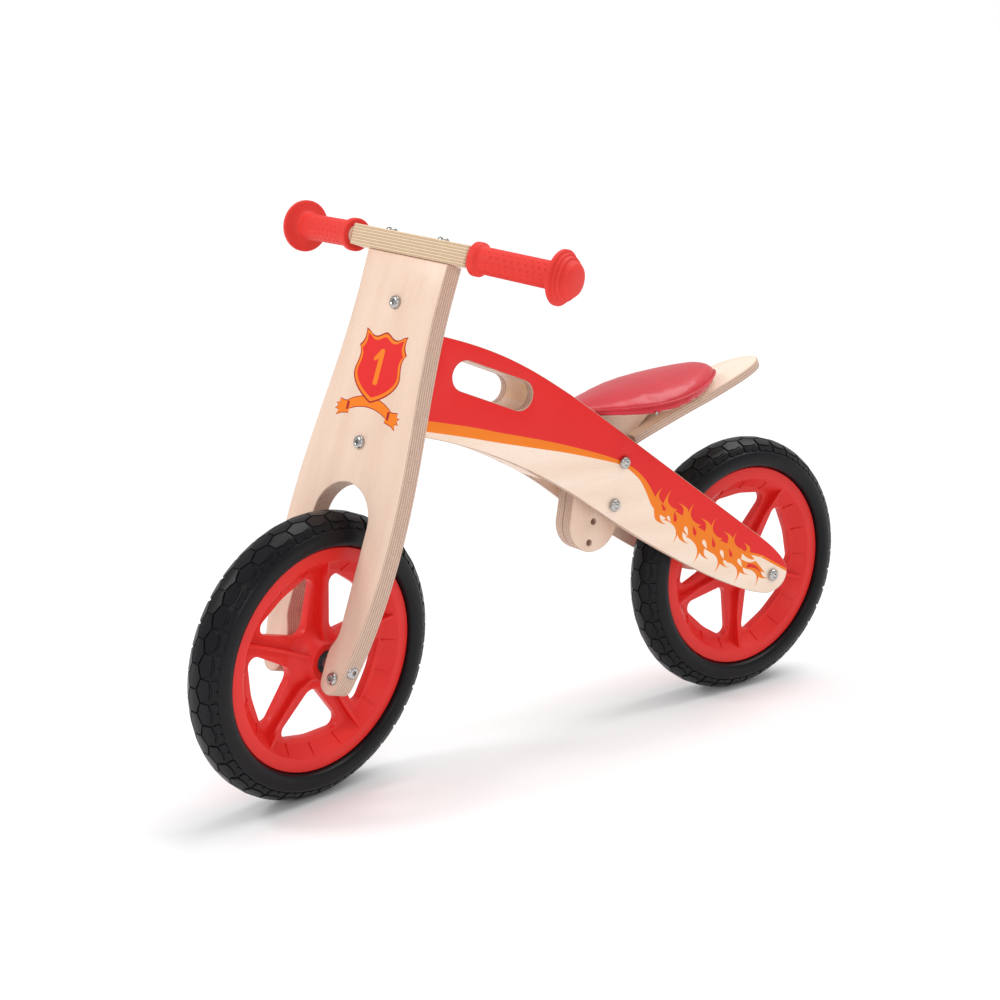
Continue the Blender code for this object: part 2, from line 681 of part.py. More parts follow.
for vert in bm.verts:
    if vert.co.x < 0:
        share = min(1.0, -vert.co.x / CORE_HALF)
        vert.co.y = math.copysign(CORE_HALF * math.sqrt(1 - share * share), vert.co.y)
head_block = finish("head_block", bm, BIRCH, head_axis)
cut(head_block, turned(rod(BUSH_RADIUS + GAP, HEAD_BOTTOM - 0.02, HEAD_TOP + 0.02), "z", 24), head_axis)
cut(head_block, turned(rod(FLANGE_RADIUS + 2 * GAP, HEAD_TOP, HEAD_TOP + 0.02), "z", 24), head_axis)
cut(head_block, turned(rod(FLANGE_RADIUS + 2 * GAP, HEAD_BOTTOM - 0.02, HEAD_BOTTOM), "z", 24), head_axis)
cut(head_block, prism(slot_outline(), -0.1, 0.1, "y"))


# Tail board: rising to the rear and bowed down a little, its front end let into the post

tail_seat = empty("tail_seat", None, (POST_X + 0.0279, 0, POST_Z + SADDLE_HEIGHT - TAIL_BELOW_SADDLE),
                  (0, -math.radians(TAIL_RISE), 0))
width = TAIL_HALF_WIDTH
side = [(0, width * 0.80), (0.05, width * 0.92), (0.10, width)]
side += bezier((0.10, width), (0.145, width), (TAIL_LENGTH, width * 0.75), (TAIL_LENGTH, 0), 8)
outline = side + [(x, -y) for x, y in reversed(side[:-1])]
bm = prism(outline, 0, TAIL_THICKNESS, "z")
TAIL_STRIPS = 8
for k in range(1, TAIL_STRIPS):
    bmesh.ops.bisect_plane(bm, geom=bm.verts[:] + bm.edges[:] + bm.faces[:],
                           plane_co=(TAIL_LENGTH * k / TAIL_STRIPS, 0, 0), plane_no=(1, 0, 0))
for vert in bm.verts:
    vert.co.z -= TAIL_SAG * vert.co.x ** 2
tail_board = finish("tail_board", bm, BIRCH, tail_seat)
rise = math.tan(math.radians(TAIL_RISE))


def tail_top(x):
    """Height of the tail board's upper face."""
    start = POST_Z + SADDLE_HEIGHT - TAIL_BELOW_SADDLE
    along = (x - POST_X - 0.0279 + TAIL_THICKNESS * rise) / math.cos(math.radians(TAIL_RISE))
    sag = TAIL_SAG * along ** 2 / math.cos(math.radians(TAIL_RISE))
    return start + (x - POST_X - 0.0279) * rise + TAIL_THICKNESS / math.cos(math.radians(TAIL_RISE)) - sag


# Seat post: two boards side by side, clamped between the panels by two bolts

def post_outline():
    arc_centre = (-POST_BOTTOM, -0.0015)
    below = [post(arc_centre[0] + b, arc_centre[1] + a) for a, b in arc((0, 0), POST_HALF_WIDTH, 0, -180, 12)]
    front_x, rear_x = POST_X - 0.038, POST_X + 0.075
    points = below + [post(-0.040, -0.0365)]
    crest = (front_x, saddle_bottom(front_x) - GAP)
    points += bezier(points[-1], post(-0.005, -0.0390), (crest[0] + 0.016, crest[1] - 0.024), crest, 5)
    for k in range(1, 6):
        x = front_x + (rear_x - front_x) * k / 5
        points.append((x, saddle_bottom(x) - GAP))
    waist = post(SADDLE_HEIGHT - 0.0213, 0.0280)
    points += bezier(points[-1], (rear_x - 0.018, points[-1][1] - 0.012), (waist[0] + 0.004, waist[1] + 0.009),
                     waist, 5)
    points += bezier(waist, post(0.018, 0.0300), post(0.012, 0.0375), post(0, 0.0375), 4)
    return points


SCREW = 0.0018
saddle_screws = ((POST_X - 0.012, -POST_BOARD / 2), (POST_X + 0.018, POST_BOARD / 2))
for label, way in (("left", -1), ("right", 1)):
    low, high = sorted((way * GAP / 2, way * (GAP / 2 + POST_BOARD)))
    board = finish("seat_post_" + label, prism(post_outline(), low, high, "y", (POST_X, POST_Z)), BIRCH, None,
                   (POST_X, 0, POST_Z))
    for up in (0, -POST_BOLT_PITCH, -1.5 * POST_BOLT_PITCH, -2 * POST_BOLT_PITCH):
        x, z = post(up, -0.0015 if up < -POST_BOLT_PITCH else 0)
        cut(board, turned(rod(POST_BOLT + GAP, -0.05, 0.05), "y", 16), None, (x, 0, z))
    floor = -GAP - TAIL_SAG * 0.03 ** 2
    notch = [(-GAP, floor), (0.1, floor), (0.1, TAIL_THICKNESS + GAP), (-GAP, TAIL_THICKNESS + GAP)]
    cut(board, prism(notch, -0.03, 0.03, "y"), tail_seat)
    for x, y in saddle_screws:
        if y * way > 0:
            cut(board, turned(rod(SCREW + GAP, -0.018, 0.02), "z", 12), None, (x, y, saddle_bottom(x)))
    place = (0.0155, way * POST_BOARD / 2, 0)
    finish("tail_screw_" + label, turned([(0, 0.0003), (0.0035, 0.0003), (SCREW, 0.003), (SCREW, 0.018),
                                          (0, 0.018)], "z", 12), STEEL, tail_seat, place)
    cut(tail_board, turned([(0, -0.0003), (0.0042, -0.0003), (SCREW + GAP, 0.0031), (SCREW + GAP, 0.03),
                            (0, 0.03)], "z", 12), tail_seat, place)
    cut(board, turned(rod(SCREW + GAP, -0.01, 0.0185), "z", 12), tail_seat, place)

for name, (x, z) in (("upper", (POST_X, POST_Z)), ("lower", LOWER_BOLT)):
    face = panel_outer(x + 0.0066) + GAP
    inner = panel_inner(x - 0.0070) - GAP
    finish("post_bolt_" + name, turned(bolt(0.0066, 0.0036, POST_BOLT, 2 * face - 0.004), "y", 12), STEEL, None,
           (x, -face, z))
    section = sleeve_nut(0.0066, 0.0036, POST_SLEEVE, 0.0085, POST_BOLT + GAP, 0.0060)
    finish("post_nut_" + name, turned([(r, -a) for r, a in section], "y", 12), STEEL, None, (x, face, z))
    for label, way in (("left", -1), ("right", 1)):
        low, high = sorted((way * (POST_BOARD + GAP * 1.5), way * inner))
        finish("post_spacer_" + name + "_" + label, turned(ring(POST_BOLT + GAP, 0.0070, low, high), "y", 16),
               STEEL, None, (x, 0, z))

axle("rear", rear_axle, panel_outer(REAR_X + 0.0068), panel_inner(REAR_X - 0.0072))


# Saddle: a leaf-shaped plywood base let into the underside of the pad

NOSE_X = POST_X - 0.079
LEAF = 1.23


def leaf(share):
    """Half the pad's width at a share of its length from the nose."""
    nose = 0.0055 * min(1.0, math.sqrt(share / 0.04)) * (1 - share) ** 6
    return nose + SADDLE_HALF_WIDTH * math.sin(math.pi * share ** LEAF) ** (1.35 - 0.75 * share)


def loft(sections):
    """A skin over sections that share a point count, closed with a flat face at each end."""
    bm = bmesh.new()
    rows = [[bm.verts.new(point) for point in section] for section in sections]
    count = len(sections[0])
    for first, second in zip(rows, rows[1:]):
        for k in range(count):
            bm.faces.new((first[k], first[(k + 1) % count], second[(k + 1) % count], second[k]))
    bm.faces.new(rows[0])
    bm.faces.new(rows[-1])
    return bm


def pad_section(share):
    """Closed section of the pad: recess, rim, side wall and crown."""
    x = SADDLE_LENGTH * share
    low = saddle_bottom(NOSE_X + x) - POST_Z - SADDLE_HEIGHT
    w = leaf(share)
    high = low + SADDLE_WALL * min(1.0, (w / SADDLE_HALF_WIDTH) ** 0.4)
    crown = SADDLE_CROWN * (w / SADDLE_HALF_WIDTH) ** 0.8 * (0.75 + 0.5 * share)
    inner = max(w - 0.004, 0.002)
    right = [(inner, low + BASE_THICKNESS + GAP), (inner, low), (w * 0.99, low), (w, low + (high - low) * 0.5),
             (w * 0.985, high), (w * 0.90, high + crown * 0.33), (w * 0.70, high + crown * 0.68),
             (w * 0.40, high + crown * 0.92), (0, high + crown)]
    left = [(-y, z) for y, z in reversed(right[:-1])]
    return [(x, y, z) for y, z in right + left]


shares = [0.012, 0.035, 0.075, 0.14, 0.22, 0.31, 0.40, 0.49, 0.58, 0.67, 0.76, 0.84, 0.905, 0.950, 0.980, 0.995]
finish("saddle_pad", loft([pad_section(share) for share in shares]), VINYL, None,
       (NOSE_X, 0, POST_Z + SADDLE_HEIGHT))


def base_section(share):
    x = SADDLE_LENGTH * share
    low = saddle_bottom(NOSE_X + x) - POST_Z - SADDLE_HEIGHT
    inner = leaf(share) - 0.004 - GAP
    return [(x, inner, low), (x, inner, low + BASE_THICKNESS), (x, -inner, low + BASE_THICKNESS), (x, -inner, low)]


base = finish("saddle_base", loft([base_section(share) for share in shares[2:-2]]), BIRCH, None,
              (NOSE_X, 0, POST_Z + SADDLE_HEIGHT))
for name, (x, y) in zip(("front", "rear"), saddle_screws):
    low = saddle_bottom(x)
    section = [(0, -0.016), (SCREW, -0.016), (SCREW, 0.002), (0.004, 0.0035), (0.004, 0.005), (0, 0.005)]
    finish("saddle_screw_" + name, turned(section, "z", 12), STEEL, None, (x, y, low))
    hole = [(0, -0.03), (SCREW + GAP, -0.03), (SCREW + GAP, 0.0017), (0.0044, 0.0032), (0.0044, 0.02), (0, 0.02)]
    cut(base, turned(hole, "z", 12), None, (x, y, low))

# A wedge carries the saddle's rear on the tail board

rest_x = (POST_X + 0.103, POST_X + 0.129)
outline = [(rest_x[0], tail_top(rest_x[0]) + GAP), (rest_x[1], tail_top(rest_x[1]) + GAP)]
for k in range(4):
    x = rest_x[1] + (rest_x[0] - rest_x[1]) * k / 3
    outline.append((x, saddle_bottom(x) - GAP))
finish("saddle_rest", prism(outline, -0.012, 0.012, "y", (rest_x[0], POST_Z)), BIRCH, None,
       (rest_x[0], 0, POST_Z))
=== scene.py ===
"""Looks of a child's wooden balance bike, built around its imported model.

Frame: metres, +Z up, the bike rolls towards -X and its left side is -Y.
"""

import json
import math

import bmesh
import bpy
from mathutils import Matrix, Vector
from mathutils.geometry import delaunay_2d_cdt

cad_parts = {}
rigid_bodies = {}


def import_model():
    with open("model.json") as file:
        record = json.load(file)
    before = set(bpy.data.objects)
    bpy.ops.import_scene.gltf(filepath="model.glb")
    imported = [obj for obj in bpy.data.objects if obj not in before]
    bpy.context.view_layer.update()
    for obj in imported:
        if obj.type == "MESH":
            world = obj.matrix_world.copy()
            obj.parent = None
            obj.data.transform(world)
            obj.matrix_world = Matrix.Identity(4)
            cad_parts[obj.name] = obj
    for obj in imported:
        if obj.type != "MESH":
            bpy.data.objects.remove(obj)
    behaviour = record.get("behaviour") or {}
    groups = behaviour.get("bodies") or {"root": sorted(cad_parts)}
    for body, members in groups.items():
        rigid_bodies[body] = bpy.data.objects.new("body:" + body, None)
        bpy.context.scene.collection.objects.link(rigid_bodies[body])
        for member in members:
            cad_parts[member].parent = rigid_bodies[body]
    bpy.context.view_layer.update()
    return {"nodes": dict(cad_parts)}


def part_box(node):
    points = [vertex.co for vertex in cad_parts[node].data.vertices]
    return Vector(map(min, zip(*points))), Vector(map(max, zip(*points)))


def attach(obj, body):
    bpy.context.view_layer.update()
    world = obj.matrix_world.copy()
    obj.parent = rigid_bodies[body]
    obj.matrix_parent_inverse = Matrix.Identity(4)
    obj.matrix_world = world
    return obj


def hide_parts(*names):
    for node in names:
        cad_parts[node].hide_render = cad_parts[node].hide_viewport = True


for old in list(bpy.data.objects):
    bpy.data.objects.remove(old, do_unlink=True)
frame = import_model()
scene = bpy.context.scene

# Sizes of the bike's parts, as in its model
GAP = 0.0003
WHEELBASE = 0.556
WHEEL_RADIUS = 0.145
TYRE_HALF = 0.0230
RIM_RADIUS = 0.1127
RIM_HALF = 0.0167
HUB_HALF = 0.0215
LEAN = math.radians(18.2)
STEER = math.radians(11.65)
AXIS_OFFSET = 0.030
FOOT_X = -WHEELBASE / 2 + AXIS_OFFSET * math.cos(LEAN)
FOOT_Z = WHEEL_RADIUS - AXIS_OFFSET * math.sin(LEAN)
BOARD_FRONT, BOARD_BACK = -AXIS_OFFSET - 0.010, -AXIS_OFFSET + 0.010
HEAD_BOTTOM, HEAD_TOP = 0.230, 0.330
FORK_TOP = 0.3956
PANEL_HALF, PANEL_THICKNESS = 0.02755, 0.009
POST_LEAN = math.radians(14.6)
SADDLE_HEIGHT = 0.0487
EYE_BOLTS = (0.212, 0.350)
FOOT_SCREW = (0.0442, -0.0107)
BAR_X, BAR_LOW, BAR_THICK = BOARD_FRONT + 0.006, FORK_TOP + GAP, 0.0205
BAR_HALF, BAR_DEPTH_HALF, BAR_BOLT = 0.0785, 0.0105, 0.035

HEAD_AXIS = Matrix.Translation((FOOT_X, 0, FOOT_Z)) @ Matrix.Rotation(LEAN, 4, "Y")
STEERING = HEAD_AXIS @ Matrix.Rotation(STEER, 4, "Z")
FRONT_AXLE = STEERING @ Matrix.Translation((-AXIS_OFFSET, 0, 0))
REAR_AXLE = Matrix.Translation((WHEELBASE / 2, 0, WHEEL_RADIUS))


# Materials: a socket that does arithmetic, and one maker of nodes

class Wire:
    """An output in a material's tree; arithmetic on it adds Math nodes."""

    def __init__(self, finish, output):
        self.finish, self.output = finish, output

    def math(self, operation, *values):
        return self.finish.node("ShaderNodeMath", {"operation": operation}, dict(enumerate(values)))

    def __add__(self, other):
        return self.math("ADD", self, other)

    def __sub__(self, other):
        return self.math("SUBTRACT", self, other)

    def __rsub__(self, other):
        return self.math("SUBTRACT", other, self)

    def __mul__(self, other):
        return self.math("MULTIPLY", self, other)

    def __truediv__(self, other):
        return self.math("DIVIDE", self, other)

    __radd__, __rmul__ = __add__, __mul__

    def part(self, axis):
        return self.finish.node("ShaderNodeSeparateXYZ", {}, {0: self}, axis)

    def ramp(self, low, high):
        """0 below low, 1 above high, smooth between."""
        return self.finish.node("ShaderNodeMapRange", {"interpolation_type": "SMOOTHSTEP"},
                                {"Value": self, "From Min": low, "From Max": high})


class Finish:
    """A material under construction: its fixed numbers, then what changes over its surface."""

    def __init__(self, name, **fixed):
        self.material = bpy.data.materials.new(name)
        self.material.use_nodes = True
        self.tree = self.material.node_tree
        self.shader = self.tree.nodes["Principled BSDF"]
        for key, value in fixed.items():
            self.feed(self.shader.inputs[key.replace("_", " ")], value)
        base = fixed.get("Base_Color", (0.5, 0.5, 0.5))
        self.material.diffuse_color = (*base, 1.0)

    def feed(self, socket, value):
        if isinstance(value, Wire):
            self.tree.links.new(value.output, socket)
        elif isinstance(value, tuple) and len(value) == 3 and socket.type == "RGBA":
            socket.default_value = (*value, 1.0)
        else:
            socket.default_value = value

    def node(self, kind, settings=None, values=None, output=0):
        made = self.tree.nodes.new(kind)
        for key, value in (settings or {}).items():
            setattr(made, key, value)
        for key, value in (values or {}).items():
            self.feed(made.inputs[key], value)
        return Wire(self, made.outputs[output])

    def set(self, name, value):
        self.feed(self.shader.inputs[name], value)

    def place(self, scale=(1, 1, 1), attribute=None):
        """Object coordinates, or the piece's own coordinates, stretched by scale."""
        if attribute:
            start = self.node("ShaderNodeAttribute", {"attribute_name": attribute}, {}, "Vector")
        else:
            start = self.node("ShaderNodeTexCoord", {}, {}, "Object")
        return self.node("ShaderNodeVectorMath", {"operation": "MULTIPLY"}, {0: start, 1: scale})

    def noise(self, where, detail=3.0, rough=0.5):
        return self.node("ShaderNodeTexNoise", {}, {"Vector": where, "Scale": 1.0, "Detail": detail,
                                                    "Roughness": rough})

    def blend(self, share, first, second):
        return self.node("ShaderNodeMix", {"data_type": "RGBA"}, {0: share, 6: first, 7: second}, 2)

    def bump(self, height, depth, strength=1.0):
        self.set("Normal", self.node("ShaderNodeBump", {}, {"Strength": strength, "Distance": depth,
                                                            "Height": height}))


def wood_face(name, light, dark, tint):
    """Lacquered birch face with its grain along the board's first coordinate."""
    made = Finish(name, Base_Color=light, Coat_Weight=0.12, Coat_Roughness=0.22)
    wide = made.noise(made.place((5, 26, 5), "board"), 3.0, 0.55)
    fine = made.noise(made.place((26, 620, 40), "board"), 4.0, 0.6)
    flecks = made.noise(made.place((160, 1500, 100), "board"), 1.0, 0.5).ramp(0.63, 0.74)
    rings = made.node("ShaderNodeTexWave", {"wave_type": "BANDS", "bands_direction": "Y"},
                      {"Vector": made.place((0.9, 9, 1), "board"), "Scale": 1.0, "Distortion": 7.0,
                       "Detail": 2.0, "Detail Scale": 1.4}, 1)
    share = wide.ramp(0.3, 0.75) * 0.42 + fine.ramp(0.35, 0.75) * 0.30 + rings * 0.28
    colour = made.blend(share, light, dark)
    made.set("Base Color", made.blend(flecks * 0.35, colour, tint))
    made.set("Roughness", fine * 0.16 + 0.36)
    made.bump(fine * 0.7 + flecks * -0.3, 0.00012, 0.55)
    return made.material


def ply_edge(name, light, dark, line):
    """Sawn plywood edge: plies of changing tone with dark glue lines, by depth into the board."""
    made = Finish(name, Base_Color=light)
    depth = made.place((1, 1, 1), "board").part(2)
    along = made.noise(made.place((60, 60, 1), "board"), 3.0, 0.6)
    wander = (along - 0.5) * 0.00022
    ply = (depth + wander) / 0.00148
    cell = ply.math("FLOOR", ply)
    within = ply - cell
    odd = (cell * 0.5).math("FRACT", cell * 0.5) * 2
    glue = 1 - within.math("MULTIPLY", within.ramp(0.03, 0.13), (1 - within).ramp(0.03, 0.13))
    fibre = made.noise(made.place((900, 900, 240), "board"), 2.0, 0.6)
    streaks = made.noise(made.place((70, 70, 700), "board"), 2.0, 0.6)
    tone = odd * 0.52 + fibre.ramp(0.35, 0.75) * 0.22 + streaks.ramp(0.5, 0.8) * 0.26
    colour = made.blend(tone, light, dark)
    made.set("Base Color", made.blend(glue * 0.72, colour, line))
    made.set("Roughness", fibre * 0.2 + 0.5)
    made.bump(fibre * 0.5 - glue * 0.8, 0.00015, 0.7)
    return made.material


def paint(name, colour, deep):
    """Printed satin paint that lets a little of the grain's relief through."""
    made = Finish(name, Base_Color=colour, Specular_IOR_Level=0.28, Coat_Weight=0.08, Coat_Roughness=0.12)
    grain = made.noise(made.place((26, 620, 40), "board"), 4.0, 0.6)
    cloud = made.noise(made.place((14, 14, 14), "board"), 2.0, 0.5)
    made.set("Base Color", made.blend(cloud.ramp(0.35, 0.75) * 0.35, colour, deep))
    made.set("Roughness", grain * 0.14 + 0.34)
    made.bump(grain, 0.00006, 0.35)
    return made.material


def moulded(name, colour, deep, rough, grit, shine=0.5):
    """Moulded plastic or rubber with a fine spark-eroded surface."""
    made = Finish(name, Base_Color=colour, Specular_IOR_Level=shine)
    cloud = made.noise(made.place((18, 18, 18)), 3.0, 0.55)
    fine = made.noise(made.place((1400, 1400, 1400)), 2.0, 0.6)
    made.set("Base Color", made.blend(cloud.ramp(0.3, 0.75) * 0.5, colour, deep))
    made.set("Roughness", cloud * 0.10 + fine * 0.08 + rough)
    made.bump(fine, 0.00005, grit)
    return made.material


def metal(name, colour, rough):
    """Plated or polished steel, slightly clouded by handling."""
    made = Finish(name, Base_Color=colour, Metallic=1.0)
    fine = made.noise(made.place((900, 900, 900)), 3.0, 0.6)
    cloud = made.noise(made.place((120, 120, 120)), 2.0, 0.5)
    made.set("Base Color", made.blend(cloud.ramp(0.4, 0.8) * 0.3, colour, tuple(0.72 * c for c in colour)))
    made.set("Roughness", fine * 0.10 + cloud * 0.08 + rough)
    return made.material


def vinyl(name):
    """Coated vinyl: a tight leather grain under a glossy coat, faintly clouded."""
    made = Finish(name, Base_Color=(0.56, 0.008, 0.018), Coat_Weight=0.30, Coat_Roughness=0.14,
                  Specular_IOR_Level=0.35)
    cells = made.node("ShaderNodeTexVoronoi", {"feature": "DISTANCE_TO_EDGE"},
                      {"Vector": made.place((1, 1, 1)), "Scale": 760.0})
    grain = cells.ramp(0.0, 0.22)
    cloud = made.noise(made.place((22, 22, 22)), 3.0, 0.5)
    made.set("Base Color", made.blend(cloud.ramp(0.3, 0.7) * 0.5, (0.60, 0.008, 0.024), (0.48, 0.005, 0.015)))
    made.set("Roughness", 0.42 - grain * 0.08 + cloud * 0.06)
    made.bump(grain, 0.00007, 0.5)
    return made.material


BIRCH = wood_face("birch_face", (0.84, 0.635, 0.505), (0.73, 0.505, 0.375), (0.56, 0.35, 0.23))
WARM_BIRCH = wood_face("warm_birch_face", (0.86, 0.60, 0.40), (0.70, 0.43, 0.24), (0.50, 0.27, 0.13))
PALE_BIRCH = wood_face("pale_birch_face", (0.95, 0.775, 0.645), (0.86, 0.655, 0.50), (0.68, 0.47, 0.33))
PLY = ply_edge("plywood_edge", (0.74, 0.53, 0.41), (0.38, 0.225, 0.165), (0.11, 0.055, 0.042))
BAR_PLY = ply_edge("handlebar_edge", (0.80, 0.61, 0.41), (0.46, 0.30, 0.17), (0.17, 0.095, 0.055))
RED_PAINT = paint("red_paint", (0.74, 0.014, 0.013), (0.68, 0.010, 0.010))
ORANGE_PAINT = paint("orange_paint", (0.86, 0.205, 0.003), (0.82, 0.180, 0.003))
DARK_PAINT = paint("dark_red_paint", (0.40, 0.008, 0.008), (0.34, 0.006, 0.006))
RIM_RED = moulded("rim_plastic", (0.74, 0.016, 0.011), (0.66, 0.011, 0.008), 0.30, 0.3, 0.36)
TREAD = moulded("tyre_foam", (0.0035, 0.0035, 0.0050), (0.0055, 0.0055, 0.0075), 0.24, 0.4, 0.20)
GRIP_RED = moulded("grip_rubber", (0.74, 0.034, 0.024), (0.66, 0.024, 0.018), 0.50, 0.7, 0.35)
BLACK_PLASTIC = moulded("seal_plastic", (0.018, 0.018, 0.020), (0.026, 0.026, 0.028), 0.42, 0.5)
NYLON = moulded("bush_nylon", (0.72, 0.72, 0.68), (0.62, 0.62, 0.58), 0.42, 0.4)
CHROME = metal("bright_steel", (0.46, 0.45, 0.44), 0.10)
ZINC = metal("plated_steel", (0.50, 0.50, 0.51), 0.27)
VINYL = vinyl("saddle_vinyl")


# Outlines

def bezier(a, b, c, d, steps):
    """Points of a cubic curve after its start, ending at d."""
    found = []
    for i in range(1, steps + 1):
        t = i / steps
        u = 1 - t
        weights = (u * u * u, 3 * u * u * t, 3 * u * t * t, t * t * t)
        found.append(tuple(sum(w * p[k] for w, p in zip(weights, (a, b, c, d))) for k in (0, 1)))
    return found


def arc(centre, radius, start, end, steps):
    """Points of an arc from start to end, in degrees."""
    turn = [math.radians(start + (end - start) * i / steps) for i in range(steps + 1)]
    return [(centre[0] + radius * math.cos(a), centre[1] + radius * math.sin(a)) for a in turn]


def smooth_line(points, steps=6):
    """A smooth line through points."""
    padded = [points[0], *points, points[-1]]
    found = [points[0]]
    for p, a, b, n in zip(padded, padded[1:], padded[2:], padded[3:]):
        first = (a[0] + (b[0] - p[0]) / 6, a[1] + (b[1] - p[1]) / 6)
        second = (b[0] - (n[0] - a[0]) / 6, b[1] - (n[1] - a[1]) / 6)
        found += bezier(a, first, second, b, steps)
    return found


def rounded(corners, radii, steps):
    """A polygon whose corners are rounded, each with its own radius."""
    found = []
    for i, corner in enumerate(corners):
        here = Vector(corner)
        before = (Vector(corners[i - 1]) - here).normalized()
        after = (Vector(corners[(i + 1) % len(corners)]) - here).normalized()
        half = before.angle(after) / 2
        centre = here + (before + after).normalized() * radii[i] / math.sin(half)
        reach = radii[i] / math.tan(half)
        first = here + before * reach - centre
        turn = first.angle_signed(here + after * reach - centre)
        start = math.atan2(first.y, first.x)
        for k in range(steps + 1):
            angle = start - turn * k / steps
            found.append((centre.x + radii[i] * math.cos(angle), centre.y + radii[i] * math.sin(angle)))
    return found


def inside(point, loop):
    """Whether a point lies within a closed loop."""
    x, y = point
    hit = False
    for (ax, ay), (bx, by) in zip(loop, loop[1:] + loop[:1]):
        if (ay > y) != (by > y) and x < (bx - ax) * (y - ay) / (by - ay) + ax:
            hit = not hit
    return hit


# Meshes

def make(name, bm, materials, body, replaces=(), slot=None, angle=35):
    """A finished piece from a bmesh that is already in place."""
    bmesh.ops.recalc_face_normals(bm, faces=bm.faces)
    mesh = bpy.data.meshes.new(name)
    bm.to_mesh(mesh)
    bm.free()
    mesh.shade_smooth()
    mesh.set_sharp_from_angle(angle=math.radians(angle))
    for item in materials:
        mesh.materials.append(item)
    obj = bpy.data.objects.new(name, mesh)
    scene.collection.objects.link(obj)
    if body:
        settle(obj, body, replaces)
    return obj


def settle(obj, body, replaces=()):
    """Puts a finished piece on its body, with what it stands for."""
    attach(obj, body)
    if replaces:
        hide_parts(*replaces)


def baked(obj):
    """The object's mesh with its modifiers applied; the modifiers are removed."""
    bpy.context.view_layer.update()
    graph = bpy.context.evaluated_depsgraph_get()
    mesh = bpy.data.meshes.new_from_object(obj.evaluated_get(graph))
    obj.modifiers.clear()
    obj.data = mesh
    return obj


def turned(profile, axis, steps, matrix=Matrix()):
    """A profile of (radius, along) spun about Y or Z; it is closed, or ends on the axis at both ends."""
    bm = bmesh.new()
    across = Vector((1, 0, 0))
    along = {"y": Vector((0, 1, 0)), "z": Vector((0, 0, 1))}[axis]
    verts = [bm.verts.new(across * r + along * a) for r, a in profile]
    edges = [bm.edges.new(pair) for pair in zip(verts, verts[1:])]
    if profile[0][0] > 0:
        edges.append(bm.edges.new((verts[-1], verts[0])))
    bmesh.ops.spin(bm, geom=verts + edges, cent=(0, 0, 0), axis=along, angle=2 * math.pi, steps=steps)
    bmesh.ops.remove_doubles(bm, verts=bm.verts, dist=1e-6)
    bm.transform(matrix)
    return bm


def board(name, outline, holes, low, high, to_world, body, materials, prints=(), lines=(), soft=0.0006,
          **more):
    """A board cut from ply. Its faces are meshed between the outline, the holes, the printed shapes and
    any extra lines, its edges are eased, and each face takes the material of the last print over it.
    materials are the print side's bare face, the other side's and the edge, then one for each print."""
    loops = [list(outline), *[list(h) for h in holes], *[list(p) for p, _ in prints]]
    points, edges = [], []
    for loop in loops:
        start = len(points)
        points += [Vector(p) for p in loop]
        edges += [(start + k, start + (k + 1) % len(loop)) for k in range(len(loop))]
    for a, b in lines:
        edges.append((len(points), len(points) + 1))
        points += [Vector(a), Vector(b)]
    flat, _, cells, _, _, _ = delaunay_2d_cdt(points, edges, [], 0, 1e-6)
    kept = []
    for cell in cells:
        middle = tuple(sum(flat[i][k] for i in cell) / len(cell) for k in (0, 1))
        if not inside(middle, loops[0]) or any(inside(middle, h) for h in loops[1:1 + len(holes)]):
            continue
        index = 0
        for shape, value in prints:
            if inside(middle, shape):
                index = value
        kept.append((cell, index))
    rim = {}
    for cell, _ in kept:
        for a, b in zip(cell, cell[1:] + cell[:1]):
            if (b, a) in rim:
                del rim[(b, a)]
            else:
                rim[(a, b)] = True
    inward = {}
    for a, b in rim:
        way = (flat[b] - flat[a]).normalized()
        for i in (a, b):
            inward[i] = inward.get(i, Vector((0, 0))) + Vector((-way.y, way.x))
    for i, way in inward.items():
        inward[i] = way.normalized() if way.length > 1e-6 else way
    bm = bmesh.new()
    layer = bm.verts.layers.float_vector.new("board")
    sign = 1 if high > low else -1

    def vert(i, inset, depth):
        u, v = flat[i] + inward.get(i, Vector((0, 0))) * inset
        made = bm.verts.new(to_world(u, v, low + sign * depth))
        made[layer] = (u, v, depth)
        return made

    thick = abs(high - low)
    used = sorted({i for cell, _ in kept for i in cell})
    eased = [(soft * 0.3, soft * 0.3), (0, soft), (0, thick - soft), (soft * 0.3, thick - soft * 0.3)]
    top = {i: vert(i, soft, 0) for i in used}
    bottom = {i: vert(i, soft, thick) for i in used}
    for cell, index in kept:
        bm.faces.new([top[i] for i in cell]).material_index = index
        bm.faces.new([bottom[i] for i in reversed(cell)]).material_index = 1
    rows = [top] + [{i: vert(i, inset, depth) for i in inward} for inset, depth in eased] + [bottom]
    for first, second in zip(rows, rows[1:]):
        for a, b in rim:
            quad = bm.faces.new((first[b], first[a], second[a], second[b]))
            quad.material_index = 2
    return make(name, bm, materials, body, **more)


def copied(node, materials, body, pick=None, angle=35, soft=0.0):
    """A smooth copy of a CAD node's own mesh, its flat faces joined, that stands for the node."""
    bm = bmesh.new()
    bm.from_mesh(frame["nodes"][node].data)
    bmesh.ops.remove_doubles(bm, verts=bm.verts, dist=2e-6)
    bmesh.ops.dissolve_limit(bm, angle_limit=math.radians(0.5), verts=bm.verts, edges=bm.edges)
    for face in bm.faces:
        face.material_index = pick(face) if pick else 0
    obj = make("bike_" + node, bm, materials, None, angle=angle)
    if soft:
        bevel = obj.modifiers.new("eased", "BEVEL")
        bevel.width, bevel.segments, bevel.limit_method = soft, 2, "ANGLE"
        bevel.angle_limit = math.radians(40)
        baked(obj)
        obj.data.shade_smooth()
        obj.data.set_sharp_from_angle(angle=math.radians(angle))
    settle(obj, body, (node,))
    return obj


# Repeats about an axle, by Geometry Nodes

